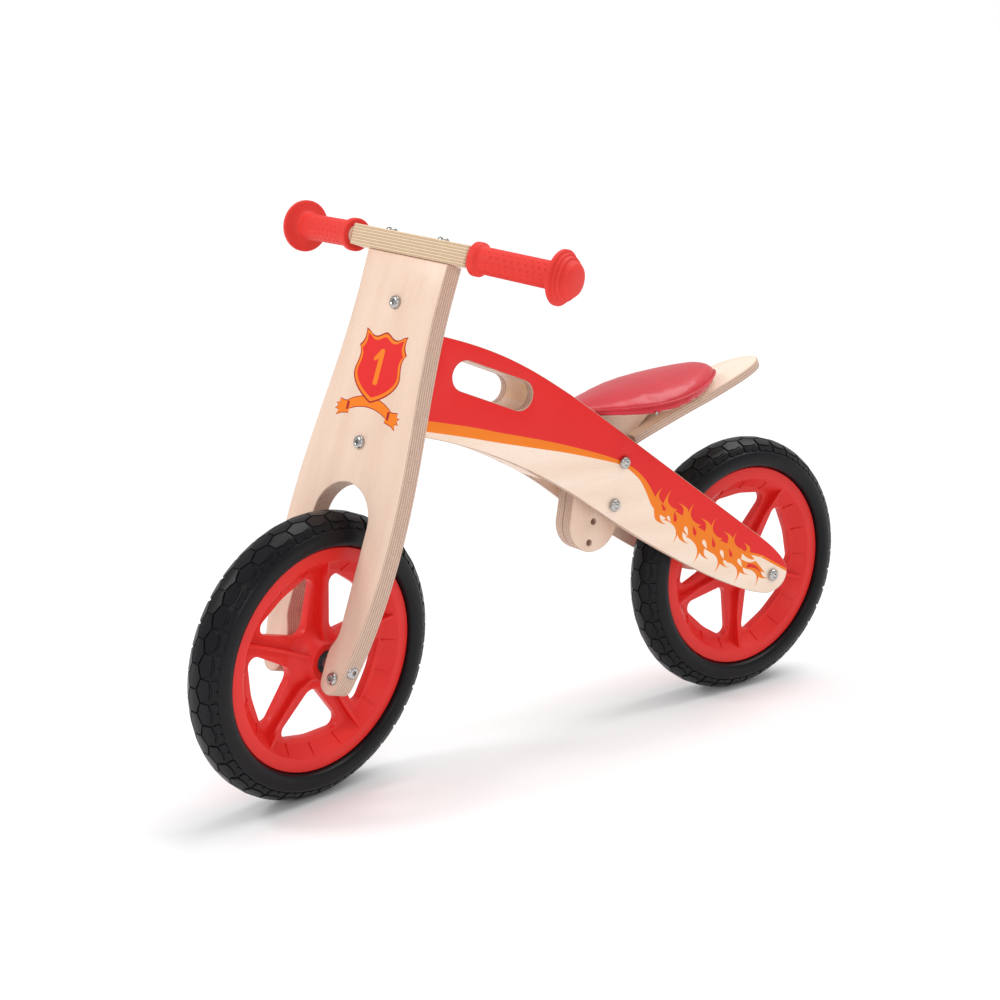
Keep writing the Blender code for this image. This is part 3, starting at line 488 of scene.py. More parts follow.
def ring_tree():
    """Copies of a shape turned about Y, realised, with their material."""
    tree = bpy.data.node_groups.new("copies_about_axle", "GeometryNodeTree")
    sockets = tree.interface
    sockets.new_socket("Geometry", in_out="INPUT", socket_type="NodeSocketGeometry")
    sockets.new_socket("Count", in_out="INPUT", socket_type="NodeSocketInt")
    sockets.new_socket("First Turn", in_out="INPUT", socket_type="NodeSocketFloat")
    sockets.new_socket("Material", in_out="INPUT", socket_type="NodeSocketMaterial")
    sockets.new_socket("Geometry", in_out="OUTPUT", socket_type="NodeSocketGeometry")

    def node(kind, **settings):
        made = tree.nodes.new(kind)
        for key, value in settings.items():
            setattr(made, key, value)
        return made

    given, result = node("NodeGroupInput"), node("NodeGroupOutput")
    points, index = node("GeometryNodePoints"), node("GeometryNodeInputIndex")
    share = node("ShaderNodeMath", operation="DIVIDE")
    turn = node("ShaderNodeMath", operation="MULTIPLY_ADD")
    angles, rotation = node("ShaderNodeCombineXYZ"), node("FunctionNodeEulerToRotation")
    copies, real = node("GeometryNodeInstanceOnPoints"), node("GeometryNodeRealizeInstances")
    coat = node("GeometryNodeSetMaterial")
    turn.inputs[1].default_value = 2 * math.pi
    link = tree.links.new
    link(given.outputs["Count"], points.inputs["Count"])
    link(index.outputs[0], share.inputs[0])
    link(given.outputs["Count"], share.inputs[1])
    link(share.outputs[0], turn.inputs[0])
    link(given.outputs["First Turn"], turn.inputs[2])
    link(turn.outputs[0], angles.inputs["Y"])
    link(angles.outputs[0], rotation.inputs[0])
    link(points.outputs[0], copies.inputs["Points"])
    link(given.outputs["Geometry"], copies.inputs["Instance"])
    link(rotation.outputs[0], copies.inputs["Rotation"])
    link(copies.outputs[0], real.inputs[0])
    link(real.outputs[0], coat.inputs["Geometry"])
    link(given.outputs["Material"], coat.inputs["Material"])
    link(coat.outputs[0], result.inputs[0])
    return tree


RING = ring_tree()


def around(name, bm, count, first, material, axle, body, angle=35):
    """A shape repeated about an axle's Y, made one plain mesh in place."""
    obj = make(name, bm, [material], None, angle=angle)
    modifier = obj.modifiers.new("copies", "NODES")
    modifier.node_group = RING
    values = {"Count": count, "First Turn": first, "Material": material}
    for item in RING.interface.items_tree:
        if item.in_out == "INPUT" and item.name in values:
            modifier[item.identifier] = values[item.name]
    baked(obj)
    obj.data.transform(axle)
    obj.data.shade_smooth()
    obj.data.set_sharp_from_angle(angle=math.radians(angle))
    settle(obj, body, ())
    return obj


# Tyres: a smooth carcass with tread blocks standing on it

CROWN_RADIUS = WHEEL_RADIUS - (WHEEL_RADIUS - RIM_RADIUS) * 0.70
CROWN_RISE = WHEEL_RADIUS - CROWN_RADIUS
TREAD_DEPTH = 0.0015
PITCHES = 38
GROOVE_HALF = 0.0004


def on_tyre(across, turn, height):
    """A point of the tyre from its distance across the crown, its angle about the axle and a height."""
    lean = across / ((TYRE_HALF + CROWN_RISE) / 2)
    r = CROWN_RADIUS + (CROWN_RISE + height) * math.cos(lean)
    return Vector((r * math.cos(turn), (TYRE_HALF + height) * math.sin(lean), -r * math.sin(turn)))


def tread_pitch():
    """The blocks of one pitch: a six-sided one on the crown, two notched ones, two on the shoulders.
    Block corners are (millimetres across the crown, share of a pitch)."""
    pitch = 2 * math.pi / PITCHES
    shapes = [[(-8.5, 0.5), (-4.2, 0.0), (4.2, 0.0), (8.5, 0.5), (4.2, 1.0), (-4.2, 1.0)]]
    for way in (1, -1):
        notched = [(8.5, 0.5), (4.2, 1.0), (8.5, 1.5), (17.0, 1.42), (18.5, 1.1), (18.5, 0.9), (17.0, 0.58)]
        shoulder = [(18.2, 0.46), (19.6, 0.10), (19.6, -0.10), (18.2, -0.44), (25.0, -0.46), (26.2, -0.30),
                    (26.2, -0.06), (22.6, -0.04), (22.6, 0.04), (26.2, 0.06), (26.2, 0.30), (25.0, 0.48)]
        shapes += [[(way * s, p) for s, p in block] for block in (notched, shoulder)]
    bm = bmesh.new()
    step = pitch * WHEEL_RADIUS
    for shape in shapes:
        flat = [Vector((s * 0.001, p * step)) for s, p in shape]
        middle = sum(flat, Vector((0, 0))) / len(flat)
        shrunk = [p + (middle - p).normalized() * GROOVE_HALF for p in flat]
        points, edges = list(shrunk), [(k, (k + 1) % len(shrunk)) for k in range(len(shrunk))]
        for k in range(-9, 10):
            edges.append((len(points), len(points) + 1))
            points += [Vector((k * 0.003, -0.03)), Vector((k * 0.003, 0.06))]
        found, _, cells, _, _, _ = delaunay_2d_cdt(points, edges, [], 0, 1e-6)
        loop = [tuple(p) for p in shrunk]
        cells = [cell for cell in cells
                 if inside(tuple(sum(found[i][k] for i in cell) / len(cell) for k in (0, 1)), loop)]
        rim = set()
        for cell in cells:
            for a, b in zip(cell, cell[1:] + cell[:1]):
                rim = rim - {(b, a)} if (b, a) in rim else rim | {(a, b)}
        used = {i for c in cells for i in c}
        edge = {i for pair in rim for i in pair}

        def vert(i, share, height):
            p = found[i] + (middle - found[i]).normalized() * share if i in edge else found[i]
            return bm.verts.new(on_tyre(p.x, p.y / WHEEL_RADIUS, height))

        top = {i: vert(i, 0.0007, -0.0001) for i in used}
        brow = {i: vert(i, 0.0001, -0.0007) for i in edge}
        foot = {i: vert(i, -0.0003, -TREAD_DEPTH - 0.0008) for i in edge}
        for cell in cells:
            bm.faces.new([top[i] for i in cell])
        for first, second in ((top, brow), (brow, foot)):
            for a, b in rim:
                bm.faces.new((first[b], first[a], second[a], second[b]))
        bm.faces.new([foot[i] for i in ordered(rim)])
    return bm


def ordered(rim):
    """The corners of a closed loop of directed edges, in reverse order."""
    after = dict(rim)
    start = next(iter(after))
    loop, here = [start], after[start]
    while here != start:
        loop.append(here)
        here = after[here]
    return list(reversed(loop))


def tyre(label, axle, body, turn):
    """A smooth carcass that fills the rim, and its tread as one ring of blocks."""
    half = []
    for k in range(25):
        lean = math.radians(k * 4.0)
        cut = TREAD_DEPTH * min(1.0, max(0.0, 1 - (lean - 1.10) / 0.10))
        half.append((CROWN_RADIUS + (CROWN_RISE - cut) * math.cos(lean), (TYRE_HALF - cut) * math.sin(lean)))
    half = [(r, a) for r, a in half if r > 0.1185]
    half += [(0.1163, 0.0221), (RIM_RADIUS + 0.0022, 0.0206), (RIM_RADIUS + 0.0010, 0.0180),
             (RIM_RADIUS + GAP * 2, 0.0150), (RIM_RADIUS + GAP * 2, 0.0110), (0.1184, 0.0090)]
    profile = [(r, -a) for r, a in reversed(half)] + half[1:]
    make(label + "_tyre_carcass", turned(profile, "y", 144, axle), [TREAD], body, (label + "_tyre",),
         "tyre_black", 50)
    around(label + "_tyre_tread", tread_pitch(), PITCHES, turn, TREAD, axle, body, 28)


tyre("front", FRONT_AXLE, "front_wheel", 0.05)
tyre("rear", REAR_AXLE, "rear_wheel", 0.11)


# Rims: turned, with windows cut between the spokes and a rib on each spoke

def rim_half():
    """Profile (radius, along) of one half of a rim: seat, lip, well, disc and hub."""
    return [
        (0.1180, 0), (0.1180, RIM_HALF * 0.52), (0.1150, RIM_HALF * 0.62),
        (RIM_RADIUS + 0.0004, RIM_HALF * 0.70), (RIM_RADIUS, RIM_HALF * 0.80), (RIM_RADIUS, RIM_HALF - 0.0006),
        (RIM_RADIUS - 0.0006, RIM_HALF),
        (RIM_RADIUS - 0.0130, RIM_HALF), (RIM_RADIUS - 0.0137, RIM_HALF - 0.0006),
        (RIM_RADIUS * 0.790, 0.0060), (RIM_RADIUS * 0.770, 0.0046), (RIM_RADIUS * 0.330, 0.0045),
        (RIM_RADIUS * 0.285, 0.0052), (0.0215, HUB_HALF * 0.60), (0.0192, HUB_HALF - 0.0008),
        (0.0184, HUB_HALF), (0.0120, HUB_HALF), (0.0112, HUB_HALF - 0.0008),
        (0.0110, HUB_HALF - 0.0070), (0.0066, HUB_HALF - 0.0070),
    ]


SPOKES = 5


def window():
    """The opening between two spokes, a rounded fan along X."""
    reach = RIM_RADIUS * 0.723
    half = math.pi / SPOKES
    edge = []
    for distance, width in ((RIM_RADIUS * 0.40, 0.0135), (reach, 0.0095)):
        along = distance * math.cos(half) + width * math.sin(half)
        edge.append(Vector((along, distance * math.sin(half) - width * math.cos(half))))
    slope = edge[1] - edge[0]
    tip = edge[0] - slope * edge[0].y / slope.y
    outer = tip + slope * (reach - tip.x) / slope.x * 0.92
    corners = [(tip.x, 0), (outer.x, outer.y), (reach * 1.005, 0), (outer.x, -outer.y)]
    return rounded(corners, (0.0105, 0.0085, 0.070, 0.0085), 8)


def prism_into(bm, outline, low, high, axis, turn):
    """Adds an outline extruded along axis and turned about Y."""
    matrix = Matrix.Rotation(-turn, 4, "Y")
    put = (lambda u, v, w: (u, w, v)) if axis == "y" else (lambda u, v, w: (u, v, w))
    rows = [[bm.verts.new(matrix @ Vector(put(u, v, w))) for u, v in outline] for w in (low, high)]
    faces = [bm.faces.new(rows[0]), bm.faces.new(rows[1])]
    count = len(outline)
    faces += [bm.faces.new((rows[0][k], rows[0][(k + 1) % count], rows[1][(k + 1) % count], rows[1][k]))
              for k in range(count)]
    return faces


def rim(label, axle, body, turn):
    """A moulded rim with its webs and hub bearings; turn sets its spokes, in degrees."""
    half = rim_half()
    profile = half + [(r, -a) for r, a in reversed(half) if a > 0]
    obj = make(label + "_wheel_rim", turned(profile, "y", 120), [RIM_RED], None)
    cutter, ribs = bmesh.new(), bmesh.new()
    for i in range(SPOKES):
        spoke = 2 * math.pi * i / SPOKES
        prism_into(cutter, window(), -0.03, 0.03, "y", spoke + math.pi / SPOKES)
        side = [(0.0180, HUB_HALF * 0.86), (0.034, 0.0118), (0.062, 0.0100),
                (RIM_RADIUS - 0.0125, RIM_HALF - 0.0012)]
        prism_into(ribs, side + [(r, -a) for r, a in reversed(side)], -0.0017, 0.0017, "z", spoke)
    for bm, operation in ((cutter, "DIFFERENCE"), (ribs, "UNION")):
        helper = make(label + "_" + operation.lower(), bm, [], None)
        modifier = obj.modifiers.new(operation, "BOOLEAN")
        modifier.operation, modifier.solver, modifier.object = operation, "EXACT", helper
    bevel = obj.modifiers.new("eased", "BEVEL")
    bevel.width, bevel.segments, bevel.limit_method = 0.0007, 2, "ANGLE"
    bevel.angle_limit = math.radians(38)
    helpers = [m.object for m in obj.modifiers if m.type == "BOOLEAN"]
    baked(obj)
    for helper in helpers:
        bpy.data.objects.remove(helper, do_unlink=True)
    obj.data.transform(axle @ Matrix.Rotation(-math.radians(turn), 4, "Y"))
    obj.data.materials.clear()
    obj.data.materials.append(RIM_RED)
    obj.data.shade_smooth()
    obj.data.set_sharp_from_angle(angle=math.radians(38))
    settle(obj, body, (label + "_rim",))
    for way in (-1, 1):
        bm = bmesh.new()
        for spread in (-20, 0, 20):
            shape = [(0.0872, 0.0038), (0.0890, 0.0042), (0.0988, 0.0110), (0.0988, 0.0158), (0.0950, 0.0134),
                     (0.0893, 0.0076), (0.0872, 0.0066)]
            shape = [(r, way * a) for r, a in shape]
            prism_into(bm, shape, -0.0005, 0.0005, "z", math.pi / SPOKES + math.radians(spread))
        side = "left" if way < 0 else "right"
        around(label + "_rim_webs_" + side, bm, SPOKES, math.radians(-turn), RIM_RED, axle, body)
    for way, side in ((-1, "left"), (1, "right")):
        section = [(0.0043, 0), (0.0060, 0), (0.0064, 0.0004), (0.0103, 0.0004), (0.0107, 0.0001),
                   (0.0107, -0.0062), (0.0043, -0.0062)]
        section = [(r, way * (HUB_HALF - 0.0004 + a)) for r, a in section]
        make(label + "_hub_bearing_" + side, turned(section, "y", 48, axle), [BLACK_PLASTIC], body,
             (label + "_bearing_" + side,), "steel")


rim("front", FRONT_AXLE, "front_wheel", 31.7)
rim("rear", REAR_AXLE, "rear_wheel", -18.2)


# Fasteners

def button_bolt(name, node, head, height, shank, length, matrix, body):
    """A domed bolt with a six-sided socket, its head below zero on Z and its shank up."""
    bm = bmesh.new()
    count = 36
    angles = [2 * math.pi * k / count for k in range(count)]
    key = head * 0.40

    def row(radius, z, six=False):
        found = []
        for a in angles:
            flat = math.cos(math.pi / 6) / math.cos((a % (math.pi / 3)) - math.pi / 6) if six else 1.0
            found.append(bm.verts.new((radius * flat * math.cos(a), radius * flat * math.sin(a), z)))
        return found

    rows = [row(key, -height * 0.30, True), row(key, -height * 0.94, True), row(key * 1.12, -height)]
    for t in (0.62, 0.74, 0.84, 0.92, 0.98, 1.0):
        rows.append(row(head * t, -height * (0.08 + 0.92 * math.sqrt(max(0.0, 1 - ((t - 0.5) / 0.5) ** 2)))))
    rows += [row(head, 0), row(shank, 0), row(shank, length)]
    for first, second in zip(rows, rows[1:]):
        for k in range(count):
            bm.faces.new((first[k], first[(k + 1) % count], second[(k + 1) % count], second[k]))
    bm.faces.new(rows[0])
    bm.faces.new(rows[-1])
    bm.transform(matrix)
    return make(name, bm, [CHROME], body, (node,), "steel", 40)


TO_X = Matrix.Rotation(math.pi / 2, 4, "Y")
TO_Y = Matrix.Rotation(-math.pi / 2, 4, "X")
FROM_Y = Matrix.Rotation(math.pi / 2, 4, "X")
TURN_OVER = Matrix.Rotation(math.pi, 4, "X")


def side_bolt(node, name, head, height, shank, body, axle=None):
    """A bolt along Y, or along a wheel's axle, with its head on the left; a nut's head is on the right."""
    way = 1 if "_nut" in node else -1
    if axle is None:
        low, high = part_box(node)
        ends = (low.y, high.y)
        base = Matrix.Translation(((low.x + high.x) / 2, 0, (low.z + high.z) / 2))
    else:
        inverse = axle.inverted()
        along = [(inverse @ v.co).y for v in frame["nodes"][node].data.vertices]
        ends = (min(along), max(along))
        base = axle
    seat = ends[1] - height if way > 0 else ends[0] + height
    length = seat - ends[0] if way > 0 else ends[1] - seat
    turn = TO_Y if way < 0 else FROM_Y
    button_bolt(name, node, head, height, shank, length, base @ Matrix.Translation((0, seat, 0)) @ turn, body)


# A fastener's head is its radius and its height
POST_HEAD, AXLE_HEAD = (0.0066, 0.0036), (0.0068, 0.0036)
FOOT_HEAD, BAR_HEAD = (0.0062, 0.0033), (0.0058, 0.0030)

for kind, shank in (("bolt", 0.003), ("nut", 0.0042)):
    for level in ("upper", "lower"):
        side_bolt("post_%s_%s" % (kind, level), "%s_post_%s" % (level, kind), *POST_HEAD, shank, "frame")
for end, body, axle in (("rear", "frame", REAR_AXLE), ("front", "fork", FRONT_AXLE)):
    side_bolt(end + "_axle_bolt", end + "_axle_button_bolt", *AXLE_HEAD, 0.004, body, axle)
    side_bolt(end + "_axle_nut", end + "_axle_button_nut", *AXLE_HEAD, 0.0052, body, axle)

for label, height in zip(("lower", "upper"), EYE_BOLTS):
    spot = STEERING @ Matrix.Translation((BOARD_FRONT - GAP, 0, height)) @ TO_X
    button_bolt(label + "_eye_button_bolt", label + "_eye_bolt", *POST_HEAD, 0.003, 0.0305, spot, "fork")
for label, way in (("left", -1), ("right", 1)):
    spot = STEERING @ Matrix.Translation((BOARD_FRONT - GAP, way * FOOT_SCREW[0], FOOT_SCREW[1])) @ TO_X
    button_bolt(label + "_foot_button_screw", "foot_screw_" + label, *FOOT_HEAD, 0.0025, 0.016, spot, "fork")
    spot = STEERING @ Matrix.Translation((BAR_X, way * BAR_BOLT, BAR_LOW + BAR_THICK + GAP)) @ TURN_OVER
    button_bolt(label + "_bar_button_bolt", "handlebar_bolt_" + label, *BAR_HEAD, 0.0025, 0.050, spot, "fork")

for node in ("post_spacer_upper_left", "post_spacer_upper_right", "post_spacer_lower_left",
             "post_spacer_lower_right", "rear_axle_spacer_left", "rear_axle_spacer_right", "tail_screw_left",
             "tail_screw_right", "saddle_screw_front", "saddle_screw_rear"):
    copied(node, [ZINC], "frame")
for node in ("upper_head_bush", "lower_head_bush"):
    copied(node, [NYLON], "frame")
for node in ("upper_steering_eye", "lower_steering_eye", "steering_pin", "steering_pin_nut",
             "front_axle_spacer_left", "front_axle_spacer_right"):
    copied(node, [ZINC], "fork", soft=0.0003 if "eye" in node else 0.0)
for node in ("upper_thrust_washer", "lower_thrust_washer"):
    copied(node, [NYLON], "fork")


# Side panels

def head(back, up):
    """The point (x, z) at a distance behind the steering axis and up along it."""
    return (FOOT_X + back * math.cos(LEAN) + up * math.sin(LEAN),
            FOOT_Z - back * math.sin(LEAN) + up * math.cos(LEAN))


HEAD_X, HEAD_Z = head(0, 0.280)
REAR_X = WHEELBASE / 2


def mid(a, b):
    """The point (x, z) at shares of the way from the head to the rear axle, and from axle to head height."""
    return HEAD_X + a * (REAR_X - HEAD_X), WHEEL_RADIUS + b * (HEAD_Z - WHEEL_RADIUS)


def tail(x, z):
    """The point (x, z) measured from the rear axle."""
    return REAR_X + x, WHEEL_RADIUS + z


BEND_START, BEND_LENGTH = mid(0.323, 0)[0], 0.030
SPLAY = (0.0625 - PANEL_HALF) / (REAR_X - BEND_START - BEND_LENGTH / 2)


def panel_outer(x):
    """Distance of a panel's outer face from the middle: level at the head, splayed after its bend."""
    if x <= BEND_START:
        return PANEL_HALF
    if x < BEND_START + BEND_LENGTH:
        return PANEL_HALF + SPLAY * (x - BEND_START) ** 2 / (2 * BEND_LENGTH)
    return PANEL_HALF + SPLAY * (x - BEND_START - BEND_LENGTH / 2)


def panel_outline():
    """Outline (x, z) of a side panel, as its model has it."""
    start = head(0, HEAD_TOP)
    found = [start] + bezier(start, mid(0.2774, 1.0725), mid(0.3911, 0.9139), mid(0.5956, 0.6500), 40)
    shoulder, tip = tail(-0.0421, 0.0645), tail(0.0198, 0.0015)
    heel, belly = tail(-0.0055, -0.0202), mid(0.4592, 0.4256)
    found += [shoulder] + bezier(shoulder, tail(-0.0161, 0.0450), tail(0.0198, 0.0210), tip, 16)
    found += bezier(tip, tail(0.0198, -0.0110), tail(0.0080, -0.0202), heel, 12)
    found += bezier(heel, tail(-0.0530, -0.0150), mid(0.6296, 0.2104), belly, 26)
    return found + bezier(belly, mid(0.3002, 0.6274), mid(0.1070, 0.7576), head(0, HEAD_BOTTOM), 26)


def slot_outline():
    """The hand slot, a long round-ended hole."""
    front, rear = head(0.0487, HEAD_BOTTOM + 0.0688), head(0.1203, HEAD_BOTTOM + 0.0644)
    slope = math.degrees(math.atan2(rear[1] - front[1], rear[0] - front[0]))
    radius = 0.0153
    return arc(front, radius, slope + 90, slope + 270, 22) + arc(rear, radius, slope - 90, slope + 90, 22)


POST_X, POST_Z = mid(0.5569, 0.5818)


def post(up, back):
    """The point (x, z) up along the seat post from its upper bolt, and back across it."""
    return (POST_X + up * math.sin(POST_LEAN) + back * math.cos(POST_LEAN),
            POST_Z + up * math.cos(POST_LEAN) - back * math.sin(POST_LEAN))


def tongue(root, tip, width, curl):
    """A flame tongue: wide where it leaves the fire, bowed by curl and hooked towards its tip."""
    a, b = Vector(root), Vector(tip)
    way = (b - a).normalized()
    side = Vector((-way.y, way.x))
    left, right = [], []
    for k in range(13):
        t = k / 12
        bow = curl * (math.sin(math.pi * t * 0.9) * 1.5 - 2.0 * t * t * t)
        middle = a + (b - a) * t + side * bow
        swell = 0.78 + 0.30 * math.sin(math.pi * min(1.0, t * 1.3))
        half = width / 2 * ((1 - t) ** 0.75 * swell + 0.55 * (1 - t) ** 9)
        left.append(tuple(middle + side * half))
        right.append(tuple(middle - side * half))
    return left[:-1] + [tuple(a + (b - a) + side * curl * -1.54)] + right[-2::-1]


def drop(centre, size, turn, tip=1.9):
    """A teardrop with its point along turn, in degrees."""
    angle = math.radians(turn)
    found = []
    for k in range(20):
        t = 2 * math.pi * k / 20
        along = math.cos(t) * (tip if math.cos(t) > 0 else 1.0)
        across = math.sin(t) * (1 - 0.5 * max(0.0, math.cos(t))) * (1 - max(0.0, math.cos(t)) ** 3)
        u, v = along * size, across * size * 0.62
        found.append((centre[0] + u * math.cos(angle) - v * math.sin(angle),
                      centre[1] + u * math.sin(angle) + v * math.cos(angle)))
    return found


def panel_prints():
    """The printed shapes of a side panel: 3 is red, 4 orange, 5 the pale margin and 0 bare wood."""
    crest = smooth_line([
        (-0.215, 0.3795), (-0.1545, 0.3653), (-0.105, 0.3533), (-0.0687, 0.3430), (-0.0188, 0.3295),
        (0.014, 0.3198), (0.0535, 0.3066), (0.0803, 0.2956), (0.0959, 0.2860), (0.1077, 0.2751),
        (0.1163, 0.2630), (0.1225, 0.2520)])
    sole = smooth_line([
        (-0.215, 0.3685), (-0.1546, 0.3544), (-0.1051, 0.3422), (-0.0687, 0.3325), (-0.0187, 0.3200),
        (0.0141, 0.3119), (0.0535, 0.3007), (0.0803, 0.2919), (0.0893, 0.2859), (0.1022, 0.2736),
        (0.1105, 0.2596), (0.1160, 0.2470)])
    end = [(0.2420, 0.1765), (0.2620, 0.1700), (0.2790, 0.1602), (0.2965, 0.1500), (0.3050, 0.1450)]
    upper = smooth_line([(0.1225, 0.2520), (0.1330, 0.2440), (0.1560, 0.2285), (0.1850, 0.2075),
                         (0.2150, 0.1895), *end])
    lower = smooth_line([(0.1160, 0.2470), (0.1240, 0.2360), (0.1440, 0.2220), (0.1680, 0.2010),
                         (0.1930, 0.1830), (0.2180, 0.1680), (0.2400, 0.1580), (0.2560, 0.1530),
                         (0.2680, 0.1490)])
    ribbon = smooth_line(end)
    under = [(x - 0.0012, z - 0.0024) for x, z in ribbon]
    shapes = [(crest + upper[1:] + [(0.35, 0.145), (0.35, 0.50), (-0.30, 0.50), (-0.30, 0.40)], 3)]
    shapes.append((crest + list(reversed(sole)), 4))
    level = sole[:43]
    shapes.append((level + [(x, z - 0.0012) for x, z in reversed(level)], 5))
    body = [p for p in upper if p[0] < 0.247]
    shapes.append((body + list(reversed(lower)), 4))
    shapes.append((ribbon + list(reversed(under)), 4))
    # Each tongue: its root, its tip, its width and its curl
    licks = [
        ((0.1290, 0.2420), (0.1265, 0.2610), 0.0095, 0.0028),
        ((0.1440, 0.2330), (0.1370, 0.2565), 0.0110, 0.0040),
        ((0.1590, 0.2230), (0.1560, 0.2430), 0.0085, -0.003),
        ((0.1740, 0.2120), (0.1660, 0.2380), 0.0115, 0.0042),
        ((0.1890, 0.2020), (0.1850, 0.2230), 0.0085, -0.003),
        ((0.2030, 0.1930), (0.1950, 0.2180), 0.0110, 0.0040),
        ((0.2180, 0.1850), (0.2150, 0.2040), 0.0080, -0.003),
        ((0.2310, 0.1780), (0.2240, 0.1990), 0.0095, 0.0034),
        ((0.2430, 0.1740), (0.2410, 0.1870), 0.0065, -0.002)]
    fangs = [
        ((0.1260, 0.2400), (0.1330, 0.2190), 0.0090, -0.003),
        ((0.1400, 0.2290), (0.1520, 0.2010), 0.0115, 0.0044),
        ((0.1560, 0.2160), (0.1620, 0.1940), 0.0080, -0.003),
        ((0.1690, 0.2060), (0.1790, 0.1740), 0.0115, 0.0046),
        ((0.1850, 0.1940), (0.1890, 0.1730), 0.0080, -0.003),
        ((0.1970, 0.1870), (0.2060, 0.1590), 0.0110, 0.0044),
        ((0.2110, 0.1790), (0.2150, 0.1600), 0.0080, -0.003),
        ((0.2220, 0.1710), (0.2330, 0.1450), 0.0110, 0.0044),
        ((0.2370, 0.1650), (0.2420, 0.1480), 0.0075, -0.003),
        ((0.2470, 0.1600), (0.2600, 0.1370), 0.0100, 0.0040),
        ((0.2580, 0.1550), (0.2700, 0.1400), 0.0070, -0.002)]
    shapes += [(tongue(*item), 4) for item in licks + fangs]
    for centre, size, turn in (((0.1335, 0.2385), 0.0030, 118), ((0.1480, 0.2255), 0.0036, 96),
                               ((0.1735, 0.2070), 0.0036, 108), ((0.1985, 0.1905), 0.0036, 104),
                               ((0.2215, 0.1760), 0.0032, 112)):
        shapes.append((drop(centre, size, turn, 2.6), 3))
    for centre, size, turn in (((0.1395, 0.2275), 0.0026, 300), ((0.1620, 0.2120), 0.0034, 292),
                               ((0.1860, 0.1940), 0.0036, 298), ((0.2095, 0.1795), 0.0034, 290),
                               ((0.2330, 0.1665), 0.0036, 300)):
        shapes.append((drop(centre, size, turn, 2.4), 0))
    shapes.append((tongue((0.2440, 0.1605), (0.2655, 0.1480), 0.0045, 0.002), 3))
    shapes.append((tongue((0.2360, 0.1720), (0.2640, 0.1650), 0.0050, -0.003), 0))
    return shapes


LOWER_BOLT = post(-0.046, 0)
PRINTS = panel_prints()
BENDS = [BEND_START + BEND_LENGTH * k / 8 for k in range(9)]
for label, way in (("left", -1), ("right", 1)):
    holes = [slot_outline()]
    for spot in ((POST_X, POST_Z), LOWER_BOLT):
        holes.append(arc(spot, 0.0033 if way < 0 else 0.0045, 0, 345, 23))
    holes.append(arc((REAR_X, WHEEL_RADIUS), 0.0043 if way < 0 else 0.0055, 0, 345, 23))

    def panel_place(u, v, w, way=way):
        return Vector((u, way * (panel_outer(u) + w), v))

    board(label + "_frame_panel", panel_outline(), holes, 0.0, -PANEL_THICKNESS, panel_place, "frame",
          [PALE_BIRCH, BIRCH, PLY, RED_PAINT, ORANGE_PAINT, PALE_BIRCH], PRINTS,
          [((x, 0.1), (x, 0.5)) for x in BENDS],
          replaces=(label + "_side_panel",), slot="painted")


# Fork, with its shield

def fork_outline():
    """Outline (y, s) of the fork board, as its model has it."""
    foot_y, foot_s, foot_r, slant = HUB_HALF + 0.0069 + 2 * GAP + 0.0125, -0.0148, 0.0125, 16
    out = (math.cos(math.radians(slant)), -math.sin(math.radians(slant)))
    toe = (foot_y + foot_r * out[0], foot_s + foot_r * out[1])
    arch_s, arch_r = 0.172 - 0.0375, 0.0375
    waist, wide = (0.0535, FORK_TOP - 0.035), (0.0718, arch_s - 0.012)
    reach = (waist[1] - wide[1]) * 0.36
    found = [(0.0540, FORK_TOP), waist]
    found += bezier(waist, (waist[0], waist[1] - reach), (wide[0], wide[1] + reach), wide, 24)
    above = (toe[0] - out[1] * 0.045, toe[1] + out[0] * 0.045)
    found += bezier(wide, (wide[0], wide[1] - 0.05), above, toe, 22)
    found += arc((foot_y, foot_s), foot_r, -slant, -180, 16)[1:]
    ankle, knee = (foot_y - foot_r, 0.006), (arch_r, 0.038)
    found += [ankle] + bezier(ankle, (ankle[0], 0.021), (knee[0], 0.023), knee, 10)
    found += arc((0, arch_s), arch_r, 0, 90, 20)
    return found + [(-y, s) for y, s in reversed(found[:-1])]


def shield(scale):
    """A shield about its middle, smaller with scale."""
    half = [(0.0, 0.3205)] + bezier((0.0, 0.3205), (0.006, 0.3195), (0.008, 0.3150), (0.0145, 0.3150), 6)
    half += bezier((0.0145, 0.3150), (0.020, 0.3150), (0.022, 0.3195), (0.0285, 0.3205), 6)
    half += bezier((0.0285, 0.3205), (0.0270, 0.3150), (0.0262, 0.3090), (0.0325, 0.3030), 6)
    half += bezier((0.0325, 0.3030), (0.0262, 0.2960), (0.0290, 0.2900), (0.0312, 0.2810), 6)
    half += bezier((0.0312, 0.2810), (0.0335, 0.2700), (0.0200, 0.2580), (0.0, 0.2505), 10)
    loop = half + [(-y, s) for y, s in reversed(half[1:-1])]
    return [(y * scale, 0.2875 + (s - 0.2875) * (scale + (scale - 1) * 0.1)) for y, s in loop]


